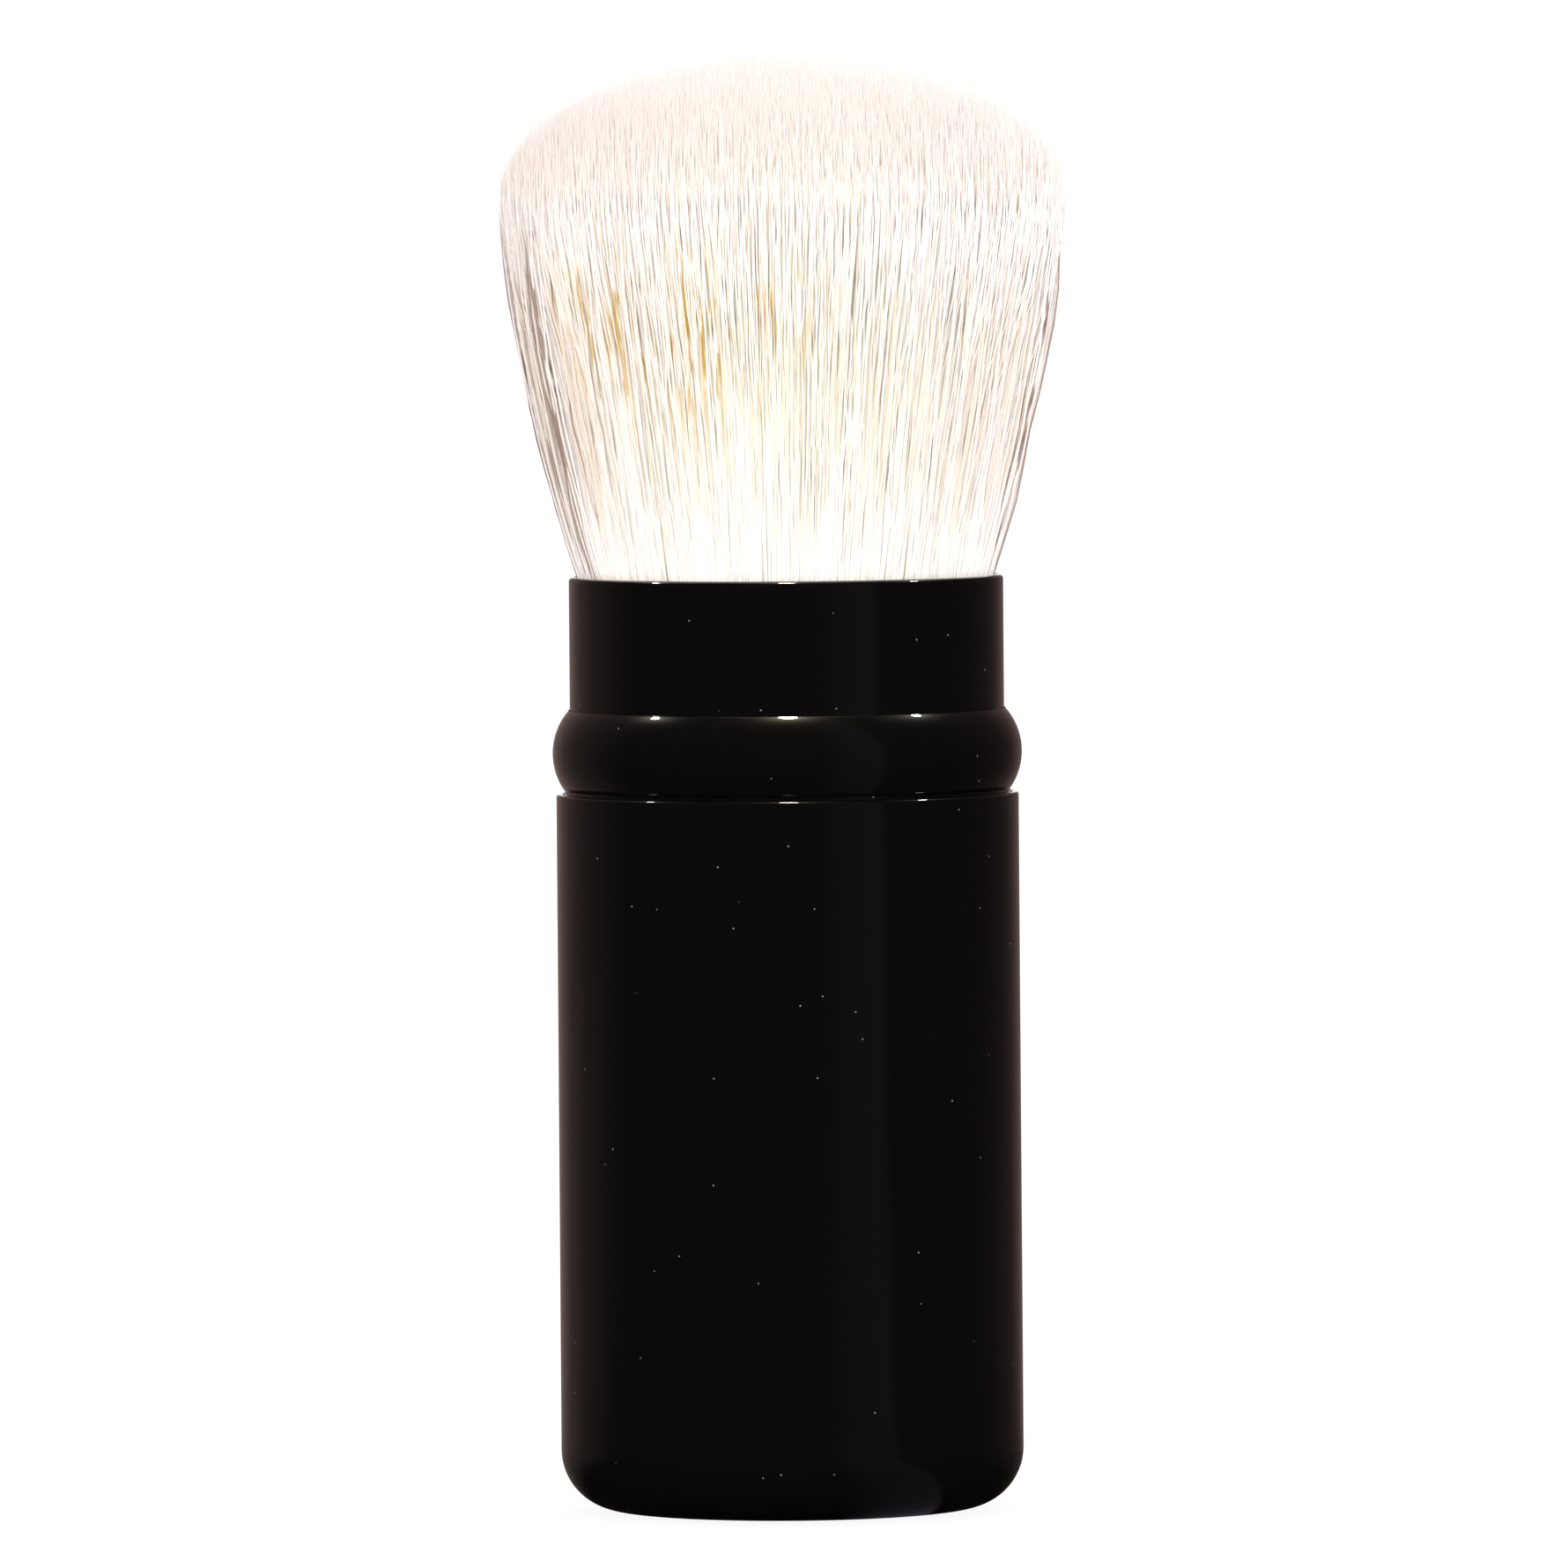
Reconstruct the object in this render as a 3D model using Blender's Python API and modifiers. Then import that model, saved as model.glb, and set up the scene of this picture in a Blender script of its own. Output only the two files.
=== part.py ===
"""Retractable makeup brush: a round kabuki head on a post, and a sleeve that slides up over it.

Metres, +Z up. The origin is the middle of the flat underside, and every round piece is turned about Z.
The sleeve is modelled down on its lower stop, with the hair out.
"""

import math

import bmesh
import bpy
from mathutils import Matrix, Vector
from mathutils.kdtree import KDTree

MM = 0.001

# Fits between pieces
RUNNING_GAP = 0.1 * MM
GLUE_GAP = 0.1 * MM
SEAT_GAP = 0.05 * MM
CUT_OVERRUN = 0.5 * MM
MERGE_DISTANCE = 0.0001 * MM

# Facets
TURN_STEPS = 40
SCREW_STEPS = 12
SHARP_ANGLE = math.radians(35)

# Base shell, a drawn cup with a rounded foot
SHELL_RADIUS = 16.5 * MM
SHELL_HEIGHT = 50.9 * MM
SHELL_WALL = 0.5 * MM
SHELL_FLOOR = 0.8 * MM
SHELL_CORNER_RADIUS = 4.3 * MM
SHELL_RIM_CHAMFER = 0.12 * MM
CORNER_STEPS = 5

# Base weight, glued to the shell's floor
WEIGHT_HEIGHT = 3.7 * MM
WEIGHT_SOCKET_DEPTH = 1.7 * MM
WEIGHT_EDGE = 0.5 * MM

# Collar ring, whose skirt is pressed into the shell's mouth
SKIRT_WALL = 0.3 * MM
SKIRT_LENGTH = 5.4 * MM
NOTCH_HEIGHT = 0.25 * MM
BEAD_HEIGHT = 5.7 * MM
BEAD_PROUD = 0.25 * MM
BEAD_LIP = 0.1 * MM
BEAD_STEPS = 9

# Guide ring, a split nylon band in the collar's inner groove
GUIDE_DEPTH = 0.6 * MM
GUIDE_HEIGHT = 2.6 * MM
GUIDE_GAP = 0.05 * MM
GUIDE_SPLIT = 0.6 * MM

# Sliding sleeve
SLEEVE_WALL = 0.4 * MM
SLEEVE_EXPOSED = 9.75 * MM
SLEEVE_RIM_CHAMFER = 0.12 * MM

# Slider bushing at the sleeve's lower end
FLANGE_HEIGHT = 2.2 * MM
SPIGOT_HEIGHT = 3.5 * MM
SPIGOT_WALL = 1.2 * MM
SPIGOT_CHAMFER = 0.4 * MM
WEB_THICKNESS = 1.5 * MM
HUB_HEIGHT = 5.7 * MM
HUB_WALL = 1.5 * MM
FINGER_RELIEF = 0.4 * MM
FINGER_BUMP_HEIGHT = 1.0 * MM
FINGER_SLOT = 0.8 * MM
FINGER_COUNT = 3
FINGER_HALF_ANGLE = math.radians(26)
GUSSET_THICKNESS = 1.0 * MM
GUSSET_HEIGHT = 2.4 * MM

# O-ring in the flange's groove
ORING_THICKNESS = 0.9 * MM
ORING_SIDES = 6
ORING_GAP = 0.02 * MM
GROOVE_HEIGHT = 1.1 * MM

# Bumper ring on the weight, under the slider
BUMPER_THICKNESS = 0.6 * MM
BUMPER_INSET = 1.4 * MM
BUMPER_POST_ROOM = 0.8 * MM

# Brush post with its keys, and the cap pressed in its head
POST_RADIUS = 8.0 * MM
POST_WALL = 1.6 * MM
POST_FLOOR = 2.0 * MM
BOSS_RADIUS = 3.2 * MM
BOSS_HEIGHT = 7.0 * MM
KEY_WIDTH = 1.6 * MM
KEY_HEIGHT = 0.8 * MM
DETENT_DEPTH = 0.35 * MM
TOP_CLEARANCE = 0.5 * MM
CAP_THICKNESS = 1.5 * MM
CAP_SPIGOT_LENGTH = 6.0 * MM

# Screws
SCREW_RADIUS = 1.5 * MM
SCREW_HOLE_CLEARANCE = 0.2 * MM
SCREW_HEAD_RADIUS = 2.8 * MM
SCREW_HEAD_HEIGHT = 1.5 * MM
SCREW_ENGAGEMENT = 5.0 * MM
SCREW_TIP = 0.6 * MM
CROSS_WIDTH = 0.7 * MM
CROSS_DEPTH = 0.8 * MM

# Ferrule, a thin drawn cup round the roots of the hair
FERRULE_WALL = 0.4 * MM
FERRULE_FLOOR = 0.8 * MM
FERRULE_SIDE_GAP = 0.5 * MM
FERRULE_LIP = 0.75 * MM

# Hair head
BACKING_HEIGHT = 4.8 * MM
ROOT_DEPTH = 1.6 * MM
HAIR_GAP = 0.15 * MM
HEAD_RADIUS = 20.3 * MM
HEAD_RISE = 26.8 * MM
DOME_HEIGHT = 10.1 * MM
FLARE_POWER = 1.45
ROOT_INSET = 0.25 * MM
STRAND_SIDES = 3
STRAND_RINGS = 10
CORE_RINGS = 3
MIDDLE_RINGS = 6
RING_SYMMETRY = 4
RING_FILL_SHARE = 0.93
STRAND_FILL_SHARE = 0.46
TIP_INSET = 0.3 * MM
BELLY_SHARE = 0.62
SHOULDER_DROP = 4.5 * MM
TIP_SPREAD = 0.9 * MM
GOLDEN_SHARE = 0.618034

# Radii that follow, from the shell inwards
SHELL_BORE = SHELL_RADIUS - SHELL_WALL
SKIRT_RADIUS = SHELL_BORE - GLUE_GAP
COLLAR_BORE = SKIRT_RADIUS - SKIRT_WALL
SLEEVE_RADIUS = COLLAR_BORE - RUNNING_GAP
SLEEVE_BORE = SLEEVE_RADIUS - SLEEVE_WALL
FLANGE_RADIUS = SHELL_BORE - RUNNING_GAP
GROOVE_RADIUS = FLANGE_RADIUS - ORING_THICKNESS
SPIGOT_RADIUS = SLEEVE_BORE - GLUE_GAP
HUB_BORE = POST_RADIUS + RUNNING_GAP
HUB_RADIUS = HUB_BORE + HUB_WALL
POST_BORE = POST_RADIUS - POST_WALL
FERRULE_RADIUS = SLEEVE_BORE - FERRULE_SIDE_GAP
FERRULE_BORE = FERRULE_RADIUS - FERRULE_WALL
BACKING_RADIUS = FERRULE_BORE - GLUE_GAP
SCREW_HOLE_RADIUS = SCREW_RADIUS + SCREW_HOLE_CLEARANCE
THREAD_RADIUS = SCREW_RADIUS + SEAT_GAP

# Heights that follow, from the floor up
WEIGHT_Z = SHELL_FLOOR + GLUE_GAP
WEIGHT_TOP = WEIGHT_Z + WEIGHT_HEIGHT
POST_Z = WEIGHT_TOP - WEIGHT_SOCKET_DEPTH + SEAT_GAP
BUMPER_Z = WEIGHT_TOP + SEAT_GAP
SLIDER_Z = BUMPER_Z + BUMPER_THICKNESS + SEAT_GAP
SLEEVE_Z = SLIDER_Z + FLANGE_HEIGHT + SEAT_GAP
COLLAR_Z = SHELL_HEIGHT - SKIRT_LENGTH
TRAVEL = COLLAR_Z - SEAT_GAP - SLIDER_Z - FLANGE_HEIGHT
BEAD_Z = SHELL_HEIGHT + NOTCH_HEIGHT
SLEEVE_TOP = BEAD_Z + BEAD_HEIGHT + SLEEVE_EXPOSED
SLIDER_TALLEST = max(HUB_HEIGHT, FLANGE_HEIGHT + SPIGOT_HEIGHT)
CAP_Z = SLIDER_Z + SLIDER_TALLEST + TRAVEL + TOP_CLEARANCE
POST_TOP = CAP_Z - SEAT_GAP
FERRULE_Z = CAP_Z + CAP_THICKNESS + SEAT_GAP
BACKING_Z = FERRULE_Z + FERRULE_FLOOR + GLUE_GAP
BACKING_TOP = BACKING_Z + BACKING_HEIGHT
FERRULE_HEIGHT = BACKING_TOP + FERRULE_LIP - FERRULE_Z
EQUATOR_Z = SLEEVE_TOP + HEAD_RISE


def clear_scene():
    for obj in list(bpy.data.objects):
        bpy.data.objects.remove(obj, do_unlink=True)


def new_collection(name):
    collection = bpy.data.collections.new(name)
    bpy.context.scene.collection.children.link(collection)
    return collection


def new_frame(name, collection, parent=None):
    frame = bpy.data.objects.new(name, None)
    frame.empty_display_size = SHELL_RADIUS
    frame.parent = parent
    collection.objects.link(frame)
    return frame


def new_material(name, color, roughness, metallic=0.0, coat=0.0):
    material = bpy.data.materials.new(name)
    material.use_nodes = True
    shader = material.node_tree.nodes["Principled BSDF"]
    shader.inputs["Base Color"].default_value = (*color, 1.0)
    shader.inputs["Roughness"].default_value = roughness
    shader.inputs["Metallic"].default_value = metallic
    shader.inputs["Coat Weight"].default_value = coat
    return material


def make_materials():
    return {
        "lacquer": new_material("black_lacquer", (0.006, 0.004, 0.005), 0.08, coat=1.0),
        "steel": new_material("zinc_plated_steel", (0.55, 0.55, 0.56), 0.3, metallic=1.0),
        "aluminium": new_material("drawn_aluminium", (0.78, 0.78, 0.79), 0.25, metallic=1.0),
        "moulding": new_material("moulded_acetal", (0.82, 0.81, 0.77), 0.45),
        "nylon": new_material("nylon_band", (0.75, 0.74, 0.7), 0.5),
        "rubber": new_material("nitrile_rubber", (0.02, 0.02, 0.02), 0.7),
        "felt": new_material("felt_pad", (0.12, 0.12, 0.13), 0.95),
        "hair": new_material("cream_hair", (0.86, 0.78, 0.68), 0.55),
    }


def arc(centre, radius, start, end, steps):
    """Points of an arc in the outline's plane, with angles from +X towards +Z in radians."""
    points = []
    for i in range(steps + 1):
        angle = start + (end - start) * i / steps
        points.append(
            (centre[0] + radius * math.cos(angle), centre[1] + radius * math.sin(angle))
        )
    return points


def turned(name, outline, collection, steps=TURN_STEPS, closed=True):
    """A body of revolution from (radius, height) points that run down its outer side."""
    mesh = bpy.data.meshes.new(name)
    edges = [(i, i + 1) for i in range(len(outline) - 1)]
    if closed:
        edges.append((len(outline) - 1, 0))
    mesh.from_pydata([(r, 0, z) for r, z in outline], edges, [])
    obj = bpy.data.objects.new(name, mesh)
    collection.objects.link(obj)
    screw = obj.modifiers.new("turn", "SCREW")
    screw.steps = screw.render_steps = steps
    screw.use_merge_vertices = True
    screw.merge_threshold = MERGE_DISTANCE
    return obj


def radial_boxes(name, collection, angles, inner, outer, width, bottom, top):
    """Boxes from one radius to another, standing at each angle round the axis, as one helper mesh."""
    mesh = bmesh.new()
    size = Matrix.Diagonal((outer - inner, width, top - bottom, 1))
    place = Matrix.Translation(((inner + outer) / 2, 0, (bottom + top) / 2))
    for angle in angles:
        turn = Matrix.Rotation(angle, 4, "Z")
        bmesh.ops.create_cube(mesh, size=1, matrix=turn @ place @ size)
    return helper(name, mesh, collection)


def helper(name, mesh, collection):
    data = bpy.data.meshes.new(name)
    mesh.to_mesh(data)
    mesh.free()
    obj = bpy.data.objects.new(name, data)
    obj.hide_render = True
    obj.display_type = "WIRE"
    collection.objects.link(obj)
    return obj


def combine(obj, other, operation):
    boolean = obj.modifiers.new(other.name, "BOOLEAN")
    boolean.operation = operation
    boolean.object = other


def settle(obj, material, parent, height=0.0):
    """Makes the evaluated shape the object's own mesh, smooth between sharp edges, and places it."""
    graph = bpy.context.evaluated_depsgraph_get()
    mesh = bpy.data.meshes.new_from_object(obj.evaluated_get(graph))
    obj.modifiers.clear()
    obj.data = mesh
    mesh.name = obj.name
    mesh.materials.clear()
    mesh.materials.append(material)
    mesh.shade_smooth()
    mesh.set_sharp_from_angle(angle=SHARP_ANGLE)
    obj.parent = parent
    obj.location.z = height
    return obj


def even_angles(count, first=0.0):
    return [first + 2 * math.pi * i / count for i in range(count)]


def key_angles():
    return even_angles(FINGER_COUNT)


def finger_angles():
    return even_angles(FINGER_COUNT, math.pi / FINGER_COUNT)


def base_shell(parts, materials, parent):
    corner = SHELL_CORNER_RADIUS
    inner = corner - SHELL_WALL
    floor_corner = (SHELL_BORE - inner, SHELL_FLOOR + inner)
    foot_corner = (SHELL_RADIUS - corner, corner)
    outline = [(0, SHELL_FLOOR)]
    outline += arc(floor_corner, inner, -math.pi / 2, 0, CORNER_STEPS)
    outline += [
        (SHELL_BORE, SHELL_HEIGHT),
        (SHELL_RADIUS - SHELL_RIM_CHAMFER, SHELL_HEIGHT),
        (SHELL_RADIUS, SHELL_HEIGHT - SHELL_RIM_CHAMFER),
    ]
    outline += arc(foot_corner, corner, 0, -math.pi / 2, CORNER_STEPS)
    outline += [(0, 0)]
    shell = turned("base_shell", outline, parts, closed=False)
    return settle(shell, materials["lacquer"], parent)


def base_weight(parts, materials, parent):
    """A steel disc that follows the shell's inner corner, with a socket for the post on top."""
    corner = SHELL_CORNER_RADIUS - SHELL_WALL - GLUE_GAP
    radius = SHELL_BORE - GLUE_GAP
    height = WEIGHT_HEIGHT
    socket_floor = height - WEIGHT_SOCKET_DEPTH
    head = SCREW_HEAD_RADIUS + SEAT_GAP
    rise = math.acos(max(0.0, (corner - height + WEIGHT_EDGE) / corner))
    outline = [(POST_RADIUS + SEAT_GAP, height)]
    outline += [(radius - corner + corner * math.sin(rise) - WEIGHT_EDGE, height)]
    outline += arc((radius - corner, corner), corner, rise - math.pi / 2, -math.pi / 2, CORNER_STEPS)
    outline += [
        (head, 0),
        (SCREW_HOLE_RADIUS, SCREW_HEAD_HEIGHT),
        (SCREW_HOLE_RADIUS, socket_floor),
        (POST_RADIUS + SEAT_GAP, socket_floor),
    ]
    weight = turned("base_weight", outline, parts)
    return settle(weight, materials["steel"], parent, WEIGHT_Z)


def bumper_ring(parts, materials, parent):
    outer = GROOVE_RADIUS - BUMPER_INSET
    inner = POST_RADIUS + KEY_HEIGHT + BUMPER_POST_ROOM
    outline = [
        (outer, BUMPER_THICKNESS),
        (outer, 0),
        (inner, 0),
        (inner, BUMPER_THICKNESS),
    ]
    bumper = turned("bumper_ring", outline, parts)
    return settle(bumper, materials["felt"], parent, BUMPER_Z)


def collar_ring(parts, materials, parent):
    """The half-round bead over a thin skirt, with a groove inside for the guide ring."""
    lip = COLLAR_BORE + BEAD_LIP
    crest = SHELL_RADIUS + BEAD_PROUD
    half = BEAD_HEIGHT / 2
    sagitta = crest - lip
    radius = (half**2 + sagitta**2) / (2 * sagitta)
    middle = BEAD_Z - COLLAR_Z + half
    centre = (crest - radius, middle)
    upper = math.asin(half / radius)
    lower = -math.acos((SKIRT_RADIUS - centre[0]) / radius)
    top = middle + half
    groove = COLLAR_BORE + GUIDE_DEPTH
    groove_half = GUIDE_HEIGHT / 2 + SEAT_GAP
    outline = arc(centre, radius, upper, lower, BEAD_STEPS)
    outline += [
        (SKIRT_RADIUS, 0),
        (COLLAR_BORE, 0),
        (COLLAR_BORE, middle - groove_half),
        (groove, middle - groove_half),
        (groove, middle + groove_half),
        (COLLAR_BORE, middle + groove_half),
        (COLLAR_BORE, top),
    ]
    collar = turned("collar_ring", outline, parts)
    return settle(collar, materials["lacquer"], parent, COLLAR_Z)


def guide_ring(parts, cutters, materials, parent):
    """A flat band, split at one side so that it springs into its groove."""
    outer = COLLAR_BORE + GUIDE_DEPTH - SEAT_GAP
    inner = SLEEVE_RADIUS + GUIDE_GAP
    outline = [(outer, GUIDE_HEIGHT), (outer, 0), (inner, 0), (inner, GUIDE_HEIGHT)]
    guide = turned("guide_ring", outline, parts)
    split = radial_boxes(
        "guide_split_cutter",
        cutters,
        [math.pi / 2],
        inner - CUT_OVERRUN,
        outer + CUT_OVERRUN,
        GUIDE_SPLIT,
        -CUT_OVERRUN,
        GUIDE_HEIGHT + CUT_OVERRUN,
    )
    combine(guide, split, "DIFFERENCE")
    height = BEAD_Z + BEAD_HEIGHT / 2 - GUIDE_HEIGHT / 2
    return settle(guide, materials["nylon"], parent, height)


def post_outline():
    """The post's half section, with a screw boss inside and a detent ring at each end of the travel."""
    height = POST_TOP - POST_Z
    bump = SLIDER_Z + HUB_HEIGHT - FINGER_BUMP_HEIGHT - POST_Z
    groove = POST_RADIUS - DETENT_DEPTH
    outline = [(POST_RADIUS, height)]
    for start in (bump + TRAVEL, bump):
        outline += [
            (POST_RADIUS, start + FINGER_BUMP_HEIGHT),
            (groove, start + FINGER_BUMP_HEIGHT - DETENT_DEPTH),
            (groove, start + DETENT_DEPTH),
            (POST_RADIUS, start),
        ]
    outline += [
        (POST_RADIUS, 0),
        (THREAD_RADIUS, 0),
        (THREAD_RADIUS, BOSS_HEIGHT),
        (BOSS_RADIUS, BOSS_HEIGHT),
        (BOSS_RADIUS, POST_FLOOR),
        (POST_BORE, POST_FLOOR),
        (POST_BORE, height),
    ]
    return outline


def brush_post(parts, cutters, materials, parent):
    post = turned("brush_post", post_outline(), parts)
    keys = radial_boxes(
        "post_keys",
        cutters,
        key_angles(),
        POST_RADIUS - POST_WALL / 2,
        POST_RADIUS + KEY_HEIGHT,
        KEY_WIDTH,
        WEIGHT_TOP - POST_Z + SEAT_GAP,
        POST_TOP - POST_Z - SEAT_GAP,
    )
    combine(post, keys, "UNION")
    return settle(post, materials["moulding"], parent, POST_Z)


def post_cap(parts, materials, parent):
    """The disc that the ferrule stands on, with a bored spigot pressed into the post."""
    outer = FERRULE_RADIUS
    spigot = POST_BORE - SEAT_GAP
    length = CAP_SPIGOT_LENGTH
    top = length + CAP_THICKNESS
    outline = [
        (outer, top),
        (outer, length),
        (spigot, length),
        (spigot - POST_WALL / 2, 0),
        (THREAD_RADIUS, 0),
        (THREAD_RADIUS, top),
    ]
    cap = turned("post_cap", outline, parts)
    return settle(cap, materials["moulding"], parent, CAP_Z - length)


def ferrule(parts, materials, parent):
    outline = [
        (FERRULE_RADIUS, FERRULE_HEIGHT),
        (FERRULE_RADIUS, FERRULE_FLOOR / 2),
        (FERRULE_RADIUS - FERRULE_FLOOR / 2, 0),
        (SCREW_HOLE_RADIUS, 0),
        (SCREW_HOLE_RADIUS, FERRULE_FLOOR),
        (FERRULE_BORE, FERRULE_FLOOR),
        (FERRULE_BORE, FERRULE_HEIGHT),
    ]
    cup = turned("ferrule", outline, parts)
    return settle(cup, materials["aluminium"], parent, FERRULE_Z)


def screw_shape(name, outline, head_face, opening, parts, cutters):
    """A screw on the axis with a cross recess, whose mouth is at head_face and opens up or down."""
    screw = turned(name, outline, parts, steps=SCREW_STEPS, closed=False)
    reach = SCREW_HEAD_RADIUS - CROSS_WIDTH
    deep, mouth = sorted((head_face - opening * CROSS_DEPTH, head_face + opening * CUT_OVERRUN))
    for label, angle in (("a", 0.0), ("b", math.pi / 2)):
        bar = radial_boxes(
            f"{name}_cross_{label}", cutters, [angle], -reach, reach, CROSS_WIDTH, deep, mouth
        )
        combine(screw, bar, "DIFFERENCE")
    return screw


def post_screw(parts, cutters, materials, parent):
    """A countersunk screw up through the weight into the post's boss."""
    tip = POST_Z - WEIGHT_Z + SCREW_ENGAGEMENT
    outline = [
        (0, tip),
        (SCREW_RADIUS - SCREW_TIP, tip),
        (SCREW_RADIUS, tip - SCREW_TIP),
        (SCREW_RADIUS, SCREW_HEAD_HEIGHT),
        (SCREW_HEAD_RADIUS, SEAT_GAP),
        (0, SEAT_GAP),
    ]
    screw = screw_shape("post_screw", outline, SEAT_GAP, -1, parts, cutters)
    return settle(screw, materials["steel"], parent, WEIGHT_Z)


def ferrule_screw(parts, cutters, materials, parent):
    """A pan-head screw down through the ferrule's floor into the post cap."""
    seat = FERRULE_Z + FERRULE_FLOOR + SEAT_GAP
    length = FERRULE_FLOOR + SCREW_ENGAGEMENT
    top = length + SCREW_HEAD_HEIGHT
    outline = [
        (0, top),
        (SCREW_HEAD_RADIUS - SCREW_TIP, top),
        (SCREW_HEAD_RADIUS, top - SCREW_TIP),
        (SCREW_HEAD_RADIUS, length),
        (SCREW_RADIUS, length),
        (SCREW_RADIUS, SCREW_TIP),
        (SCREW_RADIUS - SCREW_TIP, 0),
        (0, 0),
    ]
    screw = screw_shape("ferrule_screw", outline, top, 1, parts, cutters)
    return settle(screw, materials["steel"], parent, seat - length)


def sliding_sleeve(parts, materials, parent):
    height = SLEEVE_TOP - SLEEVE_Z
    chamfer = SLEEVE_RIM_CHAMFER
    outline = [
        (SLEEVE_RADIUS - chamfer, height),
        (SLEEVE_RADIUS, height - chamfer),
        (SLEEVE_RADIUS, 0),
        (SLEEVE_BORE, 0),
        (SLEEVE_BORE, height - chamfer),
        (SLEEVE_BORE + chamfer, height),
    ]
    sleeve = turned("sliding_sleeve", outline, parts)
    return settle(sleeve, materials["lacquer"], parent, SLEEVE_Z)


def slider_outline():
    """Flange with its ring groove, spigot, web, and a hub whose bore is relieved behind the bumps."""
    lower_lip = (FLANGE_HEIGHT - GROOVE_HEIGHT) / 2
    upper_lip = lower_lip + GROOVE_HEIGHT
    spigot_top = FLANGE_HEIGHT + SPIGOT_HEIGHT
    spigot_bore = SPIGOT_RADIUS - SPIGOT_WALL
    bump_foot = HUB_HEIGHT - FINGER_BUMP_HEIGHT
    relief = HUB_BORE + FINGER_RELIEF
    return [
        (SPIGOT_RADIUS - SPIGOT_CHAMFER, spigot_top),
        (SPIGOT_RADIUS, spigot_top - SPIGOT_CHAMFER),
        (SPIGOT_RADIUS, FLANGE_HEIGHT),
        (FLANGE_RADIUS, FLANGE_HEIGHT),
        (FLANGE_RADIUS, upper_lip),
        (GROOVE_RADIUS, upper_lip),
        (GROOVE_RADIUS, lower_lip),
        (FLANGE_RADIUS, lower_lip),
        (FLANGE_RADIUS, 0),
        (HUB_BORE, 0),
        (HUB_BORE, WEB_THICKNESS),
        (relief, WEB_THICKNESS + FINGER_RELIEF),
        (relief, bump_foot),
        (HUB_BORE, HUB_HEIGHT - FINGER_BUMP_HEIGHT / 2),
        (relief, HUB_HEIGHT),
        (HUB_RADIUS, HUB_HEIGHT),
        (HUB_RADIUS, WEB_THICKNESS),
        (spigot_bore, WEB_THICKNESS),
        (spigot_bore, spigot_top),
    ]


def slider_bushing(parts, cutters, materials, parent):
    """The moulding that guides the sleeve: keyways, three snap fingers and a gusset behind each keyway."""
    slider = turned("slider_bushing", slider_outline(), parts)
    gussets = radial_boxes(
        "slider_gussets",
        cutters,
        key_angles(),
        HUB_RADIUS - HUB_WALL / 4,
        SPIGOT_RADIUS - SPIGOT_WALL / 2,
        GUSSET_THICKNESS,
        WEB_THICKNESS / 2,
        WEB_THICKNESS + GUSSET_HEIGHT,
    )
    keyways = radial_boxes(
        "keyway_cutters",
        cutters,
        key_angles(),
        HUB_BORE - CUT_OVERRUN,
        POST_RADIUS + KEY_HEIGHT + RUNNING_GAP,
        KEY_WIDTH + 2 * RUNNING_GAP,
        -CUT_OVERRUN,
        HUB_HEIGHT + CUT_OVERRUN,
    )
    slot_angles = []
    for angle in finger_angles():
        slot_angles += [angle - FINGER_HALF_ANGLE, angle + FINGER_HALF_ANGLE]
    slots = radial_boxes(
        "finger_slot_cutters",
        cutters,
        slot_angles,
        HUB_BORE - CUT_OVERRUN,
        HUB_RADIUS + CUT_OVERRUN,
        FINGER_SLOT,
        WEB_THICKNESS,
        HUB_HEIGHT + CUT_OVERRUN,
    )
    combine(slider, gussets, "UNION")
    combine(slider, keyways, "DIFFERENCE")
    combine(slider, slots, "DIFFERENCE")
    return settle(slider, materials["moulding"], parent, SLIDER_Z)


def slider_o_ring(parts, materials, parent):
    radius = ORING_THICKNESS / 2
    centre = (GROOVE_RADIUS + ORING_GAP + radius, 0)
    outline = arc(centre, radius, math.pi / 2, -3 * math.pi / 2, ORING_SIDES)[:-1]
    ring = turned("slider_o_ring", outline, parts)
    return settle(ring, materials["rubber"], parent, SLIDER_Z + FLANGE_HEIGHT / 2)


def head_radius(height):
    """The hair's outer radius at a height from the sleeve's rim to the widest level."""
    rim = SLEEVE_BORE - HAIR_GAP
    down = (EQUATOR_Z - height) / HEAD_RISE
    return HEAD_RADIUS - (HEAD_RADIUS - rim) * down**FLARE_POWER


def dome_height(radius):
    return EQUATOR_Z + DOME_HEIGHT * math.sqrt(max(0.0, 1 - (radius / HEAD_RADIUS) ** 2))


def strand_width(reach):
    """A strand's own radius where the outermost ring of strands reaches to this radius."""
    return reach * STRAND_FILL_SHARE / (STRAND_RINGS + STRAND_FILL_SHARE)


def strand_stations(share, drop):
    """(distance from the axis, height, strand radius) from a strand's root to its shoulder, and its tip."""
    belly_z = SLEEVE_TOP + BELLY_SHARE * HEAD_RISE
    reaches = [
        (BACKING_RADIUS - ROOT_INSET, BACKING_TOP - ROOT_DEPTH),
        (SLEEVE_BORE - HAIR_GAP, SLEEVE_TOP),
        (head_radius(belly_z), belly_z),
    ]
    tip_out = share * (HEAD_RADIUS - TIP_INSET)
    tip_z = dome_height(tip_out) - drop
    shoulder_z = tip_z - SHOULDER_DROP
    reaches.append((head_radius(min(shoulder_z, EQUATOR_Z)), shoulder_z))
    stations = []
    for reach, z in reaches:
        width = strand_width(reach)
        stations.append((share * (reach - width), z, width))
    return stations, (tip_out, tip_z)


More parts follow.
